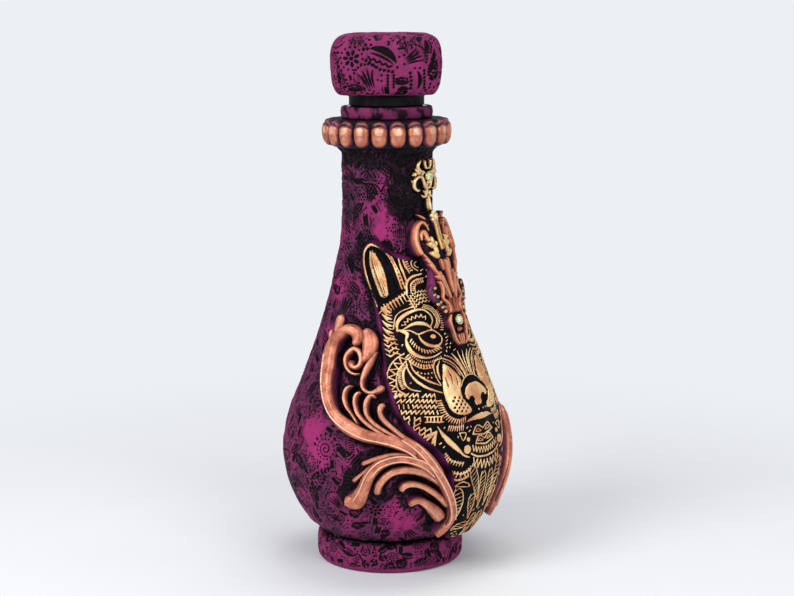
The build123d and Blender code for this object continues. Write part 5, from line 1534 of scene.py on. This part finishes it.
# Black close round the castings: partly black wash, partly painted shade beside their raised edges.
skin_smear_and_shade = 1 - eased(around, smear_and_shade_edge - 2.2, smear_and_shade_edge + 1.6)
facing = np.cos(skin.angles)[None, :]
neck_black = eased(skin.heights + 5 * clouds(skin, 15, 73) + 15 * facing, 196, 206) * eased(facing, 0.35, 0.75)
under_collar = eased(skin.heights + 2.5 * clouds(skin, 11, 74), 214, 222)
in_groove = 1 - eased(skin.heights + 1.6 * clouds(skin, 20, 75), 18.5, 23)
skin_smear_and_shade = np.maximum(skin_smear_and_shade * (1 - 0.6 * skin_bright), 0.5 * skin_dark)
skin_smear_and_shade = np.clip(np.maximum.reduce([skin_smear_and_shade, neck_black, under_collar * 0.9, in_groove * 0.75]), 0, 1)
layer_values = np.zeros(len(body_cover.data.vertices), np.float32)
layer_values[:skin_smear_and_shade.size] = skin_smear_and_shade.ravel()
body_cover.data.attributes["smear_and_shade"].data.foreach_set("value", layer_values)

# Stopper head
# A cushion-shaped block of clay, modelled over a wooden core and pressed with the same stamps as the skin.
# Its flat faces are turned a little from the wolf's, and it turns freely with the peg.
head_low, head_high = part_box("stopper_cover")
head_reach, head_bottom, head_top = head_high.x / MM, head_low.z / MM, head_high.z / MM
head_turn = math.radians(-53)
head_squareness = 5.2
head_half = head_reach * 0.808
head_seat, middle_hole = 22.0, 0.06
head_pitch, head_cut_depth, head_thickness = 0.4, 0.75, 2.0
head_profile = [(head_seat, head_bottom), (head_seat + 3.6, head_bottom + 0.5)]
head_profile += [(head_half + out, head_bottom + up) for out, up in (
    (-1.9, 2.6), (-0.8, 5.4), (-0.2, 9), (0.3, 14), (0.4, 18))]
head_profile += [(head_half + out, head_top - down) for out, down in (
    (0.1, 9.6), (-0.9, 5.6), (-3.0, 2.6), (-6.4, 0.9), (-11, 0.3), (-18, 0))]
head_profile.append((middle_hole, head_top))


class Block(Curve):
    """The outside of a cushion-shaped block: a turned outline carried round a rounded square."""

    def __init__(self, radii, heights, squareness, turn):
        super().__init__(radii, heights)
        self.turn = turn
        self.turns = np.linspace(-math.pi, math.pi, 721)
        across, ahead = abs(np.cos(self.turns)), abs(np.sin(self.turns))
        self.reach = (across ** squareness + ahead ** squareness) ** (-1 / squareness)
        edge = np.stack([self.reach * np.sin(self.turns), self.reach * np.cos(self.turns)], -1)
        length = np.concatenate([[0], np.cumsum(np.hypot(*np.diff(edge, axis=0).T))])
        self.girth = length[-1] / full_turn
        self.even = length / self.girth - math.pi

    def radius(self, runs):
        return np.interp(runs, self.runs, self.radii) * self.girth

    def ring(self, angles):
        return np.interp(angles, self.even, self.turns) + self.turn, np.interp(angles, self.even, self.reach)


def press_almond(stamp, size):
    stamp.petal((-size, size * 0.16), (size, -size * 0.1), size * 0.36, bow=0.17)
    stamp.petal((-size * 0.92, -size * 0.1), (size * 0.9, -size * 0.24), size * 0.12, bow=0.07)
    stamp.line([(size * (0.2 * step - 0.85), size * (-0.42 + 0.07 * (-1) ** step)) for step in range(9)], 0.8)
    stamp.dots([(size * (0.26 * step - 0.9), size * (-0.82 + 0.05 * abs(step - 4))) for step in range(8)], 1.3)


def press_column(stamp, size):
    for column in (-0.5, 0.5):
        stamp.dots([(column * size, size * (0.5 * step - 0.9)) for step in range(5)], 1.05)
    stamp.line(np.vstack([ring_of(6, size * 0.3), ring_of(1, size * 0.3)]) + [size * 1.25, 0], 1.0)


def press_crescent(stamp, size):
    stamp.petal((0, -size), (0, size), size * 0.3, bow=-0.16)
    stamp.dots([(-size * 0.62 - 0.2 * abs(step - 2), size * (0.4 * step - 0.8)) for step in range(5)], 1.3)
    stamp.dots([(size * 0.75, size * (0.36 * step - 0.9)) for step in range(6)], 1.2)


head_curve = Block(*np.array(head_profile).T, head_squareness, head_turn)
head = Sheet(head_curve, head_pitch)
head_cuts = head.blank()
placed_stamps = []
for angle, run, size, turn, kind in (
        (-3, 25, 8.4, -0.38, press_almond), (-17, 13.5, 6.0, 0.3, press_fan), (25, 24.5, 5.4, -1.1, press_fan),
        (4, 11.5, 3.2, 0.0, press_column), (28, 12.5, 5.2, 0.1, press_crescent),
        (-31, 24, 5.6, 0.4, press_flower),
        (41, 20, 6.4, 0.2, press_shawl), (-44, 15, 5.6, 0.5, press_teardrop)):
    kind(Stamp(head, head_cuts, math.radians(angle), run, turn, 1.4), size)
    placed_stamps.append((math.radians(angle), run, size))
head_kinds = large_stamps + [press_almond, press_crescent]
press_all(head, head_cuts, 81, (4.2, 6.2), 1.05, head_kinds, placed_stamps, 1.4)
press_all(head, head_cuts, 82, (2.4, 3.4), 1.0, small_stamps, placed_stamps, 1.3)
fill_with_dots(head, head_cuts, 83, 2.35, 1.55, np.clip(0.55 + 0.7 * clouds(head, 20, 84), 0.05, 1.0))
top_fade = 1 - eased(head.runs, head.runs[-1] - 9, head.runs[-1] - 5)[:, None]
foot_fade = eased(head.runs, 1.5, 4)[:, None]
head_cuts *= top_fade * foot_fade
head_proud = 0.35 * clouds(head, 14, 85) * top_fade * foot_fade - head_cut_depth * head_cuts
head_smear = np.clip(1 - head.runs / 4.5, 0, 1)[:, None] + 0.55 * eased(clouds(head, 24, 86), 0.5, 0.9)
head_piece = clay_wall("head_clay", head, head_proud, head_thickness, head_cuts, head_smear, bright=0.5)
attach(head_piece, "stopper")
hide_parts("stopper_cover")

# Stopper base and the hidden parts
# The black plate seats on the mouth. Above it is the wooden core, below it the peg with its ribbed sleeve.
base_low, base_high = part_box("stopper_base")
base_radius, base_bottom, base_top = base_high.x / MM - 1.9, base_low.z / MM, base_high.z / MM
base_rows = [
    (middle_hole, base_bottom), (base_radius - 0.6, base_bottom), (base_radius, base_bottom + 0.5),
    (base_radius, base_top - 1.6), (base_radius + 0.4, base_top - 0.7), (base_radius + 1.6, base_top + 0.1),
    (middle_hole, base_top + 0.1)]
base_radii, base_heights = np.array(base_rows).T[:, :, None]
base_points = turned(base_radii, np.linspace(-math.pi, math.pi, 160, endpoint=False), base_heights)
base_piece = build("base_plate", base_points, grid_faces(*base_points.shape[:2], True), black_paint,
                   smooth=False)
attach(base_piece, "stopper")
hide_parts("stopper_base")
beech = Finish("wood_core", roughness=0.6)
rings_of_growth = beech.speckle(4, detail=4, stretch=(1, 1, 0.08))
beech.colour(beech.mix(rings_of_growth, srgb(178, 134, 92), srgb(206, 166, 122)))
beech.grain(rings_of_growth, 0.1)
cover_wall = 2.4
core_rows = [(middle_hole, head_bottom + 0.1), (head_seat - 0.4, head_bottom + 0.1)] + [
    (max(radius - cover_wall, middle_hole), min(max(height, head_bottom + 1.2), head_top - cover_wall))
    for radius, height in head_profile[2:-1]]
core_radii, core_heights = np.array(core_rows).T[:, :, None]
core_turns = np.linspace(-math.pi, math.pi, 240, endpoint=False)
core_reach = core_radii * np.interp(core_turns, head_curve.turns, head_curve.reach)
core_points = turned(core_reach, core_turns + head_turn, core_heights)
core_piece = build("head_core", core_points, grid_faces(*core_points.shape[:2], True), beech)
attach(core_piece, "stopper")
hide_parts("stopper_block")
dress("stopper_shank", beech)
cap = Finish("cap_plastic", roughness=0.3)
cap.colour(cap.mix(cap.speckle(8), srgb(20, 20, 21), srgb(28, 28, 30)))
cap.rough(cap.blotches(2, 0.3, 0.7, 0.26, 0.36, detail=3))
dress("shank_cap", cap)
rubber = Finish("seal_rubber", roughness=0.75)
rubber.colour(rubber.mix(rubber.speckle(5, detail=3), srgb(26, 26, 26), srgb(36, 35, 34)))
rubber.grain(rubber.speckle(0.7, detail=2), 0.05)
dress("seal_sleeve", rubber)

# Studio
# The bottle stands on a pale floor that runs on to the white behind it, lit by large soft lamps.
floor_side = 60.0
shown_white = srgb(237, 240, 243)
floor_finish = Finish("floor_white", roughness=0.75)
plain = floor_finish.speckle(90, detail=3)
floor_finish.colour(floor_finish.mix(plain, srgb(224, 226, 229), srgb(231, 233, 235)))
floor_points = np.array([(-1, -1, 0), (1, -1, 0), (1, 1, 0), (-1, 1, 0)]) * floor_side / 2 / MM
floor = build("studio_floor", floor_points, np.array([[0, 1, 2, 3]]), floor_finish)
shown = floor_finish.add("ShaderNodeEmission", {"Color": shown_white, "Strength": 1.0})
away = floor_finish.add("ShaderNodeVectorMath", {0: floor_finish.place}, operation="LENGTH").outputs["Value"]
beyond = floor_finish.step(away, 0.14, 0.5)
seen = floor_finish.add("ShaderNodeLightPath").outputs["Is Camera Ray"]
share = floor_finish.maths("MULTIPLY", beyond, seen)
lit = floor_finish.shader.outputs[0]
join = floor_finish.add("ShaderNodeMixShader", {0: share, 1: lit, 2: shown.outputs[0]})
floor_finish.tree.links.new(join.outputs[0], floor_finish.tree.nodes["Material Output"].inputs["Surface"])

world = bpy.data.worlds.new("studio")
scene.world = world
world.use_nodes = True
sky = world.node_tree
surround = sky.nodes["Background"]
backdrop = sky.nodes.new("ShaderNodeBackground")
for light, colour, strength in ((surround, srgb(250, 251, 255), 0.45), (backdrop, shown_white, 1.0)):
    light.inputs["Color"].default_value = colour
    light.inputs["Strength"].default_value = strength
rays = sky.nodes.new("ShaderNodeLightPath")
choose = sky.nodes.new("ShaderNodeMixShader")
sky.links.new(rays.outputs["Is Camera Ray"], choose.inputs[0])
sky.links.new(surround.outputs[0], choose.inputs[1])
sky.links.new(backdrop.outputs[0], choose.inputs[2])
sky.links.new(choose.outputs[0], sky.nodes["World Output"].inputs["Surface"])


def soft_lamp(name, place, aim, size, power):
    lamp = bpy.data.lights.new(name, "AREA")
    lamp.shape = "DISK"
    lamp.size = size
    lamp.energy = power
    holder = bpy.data.objects.new(name, lamp)
    scene.collection.objects.link(holder)
    holder.location = place
    holder.rotation_euler = (Vector(aim) - Vector(place)).to_track_quat("-Z", "Y").to_euler()


middle = (0, 0, 0.14)
soft_lamp("window_left", (-1.1, 0.2, 0.9), middle, 0.8, 12)
soft_lamp("window_front", (-0.5, -1.2, 0.8), middle, 0.9, 8)
soft_lamp("top_fill", (0.3, -0.1, 1.5), middle, 1.0, 7)

# Camera
# It stands where the picture was taken from: in front and to the wolf's right, a little above the belly.
photo_width = 794
focal_pixels = 1747.44
film_width = 36.0
camera_place = np.array([-758.7, -571.7, 308.0])
camera_pitch, camera_yaw, camera_roll = (math.radians(value) for value in (9.7268, 0.2955, -0.407))
bearing = math.radians(-53.0)
right = np.array([math.cos(bearing), math.sin(bearing), 0])
ahead = np.array([-math.sin(bearing), math.cos(bearing), 0])
up = np.array([0, 0, 1.0])
right, ahead = (right * math.cos(camera_yaw) - ahead * math.sin(camera_yaw),
                ahead * math.cos(camera_yaw) + right * math.sin(camera_yaw))
ahead, up = (ahead * math.cos(camera_pitch) - up * math.sin(camera_pitch),
             up * math.cos(camera_pitch) + ahead * math.sin(camera_pitch))
right, up = (right * math.cos(camera_roll) + up * math.sin(camera_roll),
             up * math.cos(camera_roll) - right * math.sin(camera_roll))
lens = bpy.data.cameras.new("camera")
lens.sensor_width = film_width
lens.lens = focal_pixels * film_width / photo_width
lens.clip_start, lens.clip_end = 0.01, 50
camera = bpy.data.objects.new("camera", lens)
scene.collection.objects.link(camera)
axes = Matrix((right, up, -ahead)).transposed().to_4x4()
camera.matrix_world = Matrix.Translation(Vector(camera_place * MM)) @ axes
scene.camera = camera
scene.view_settings.view_transform = "Standard"
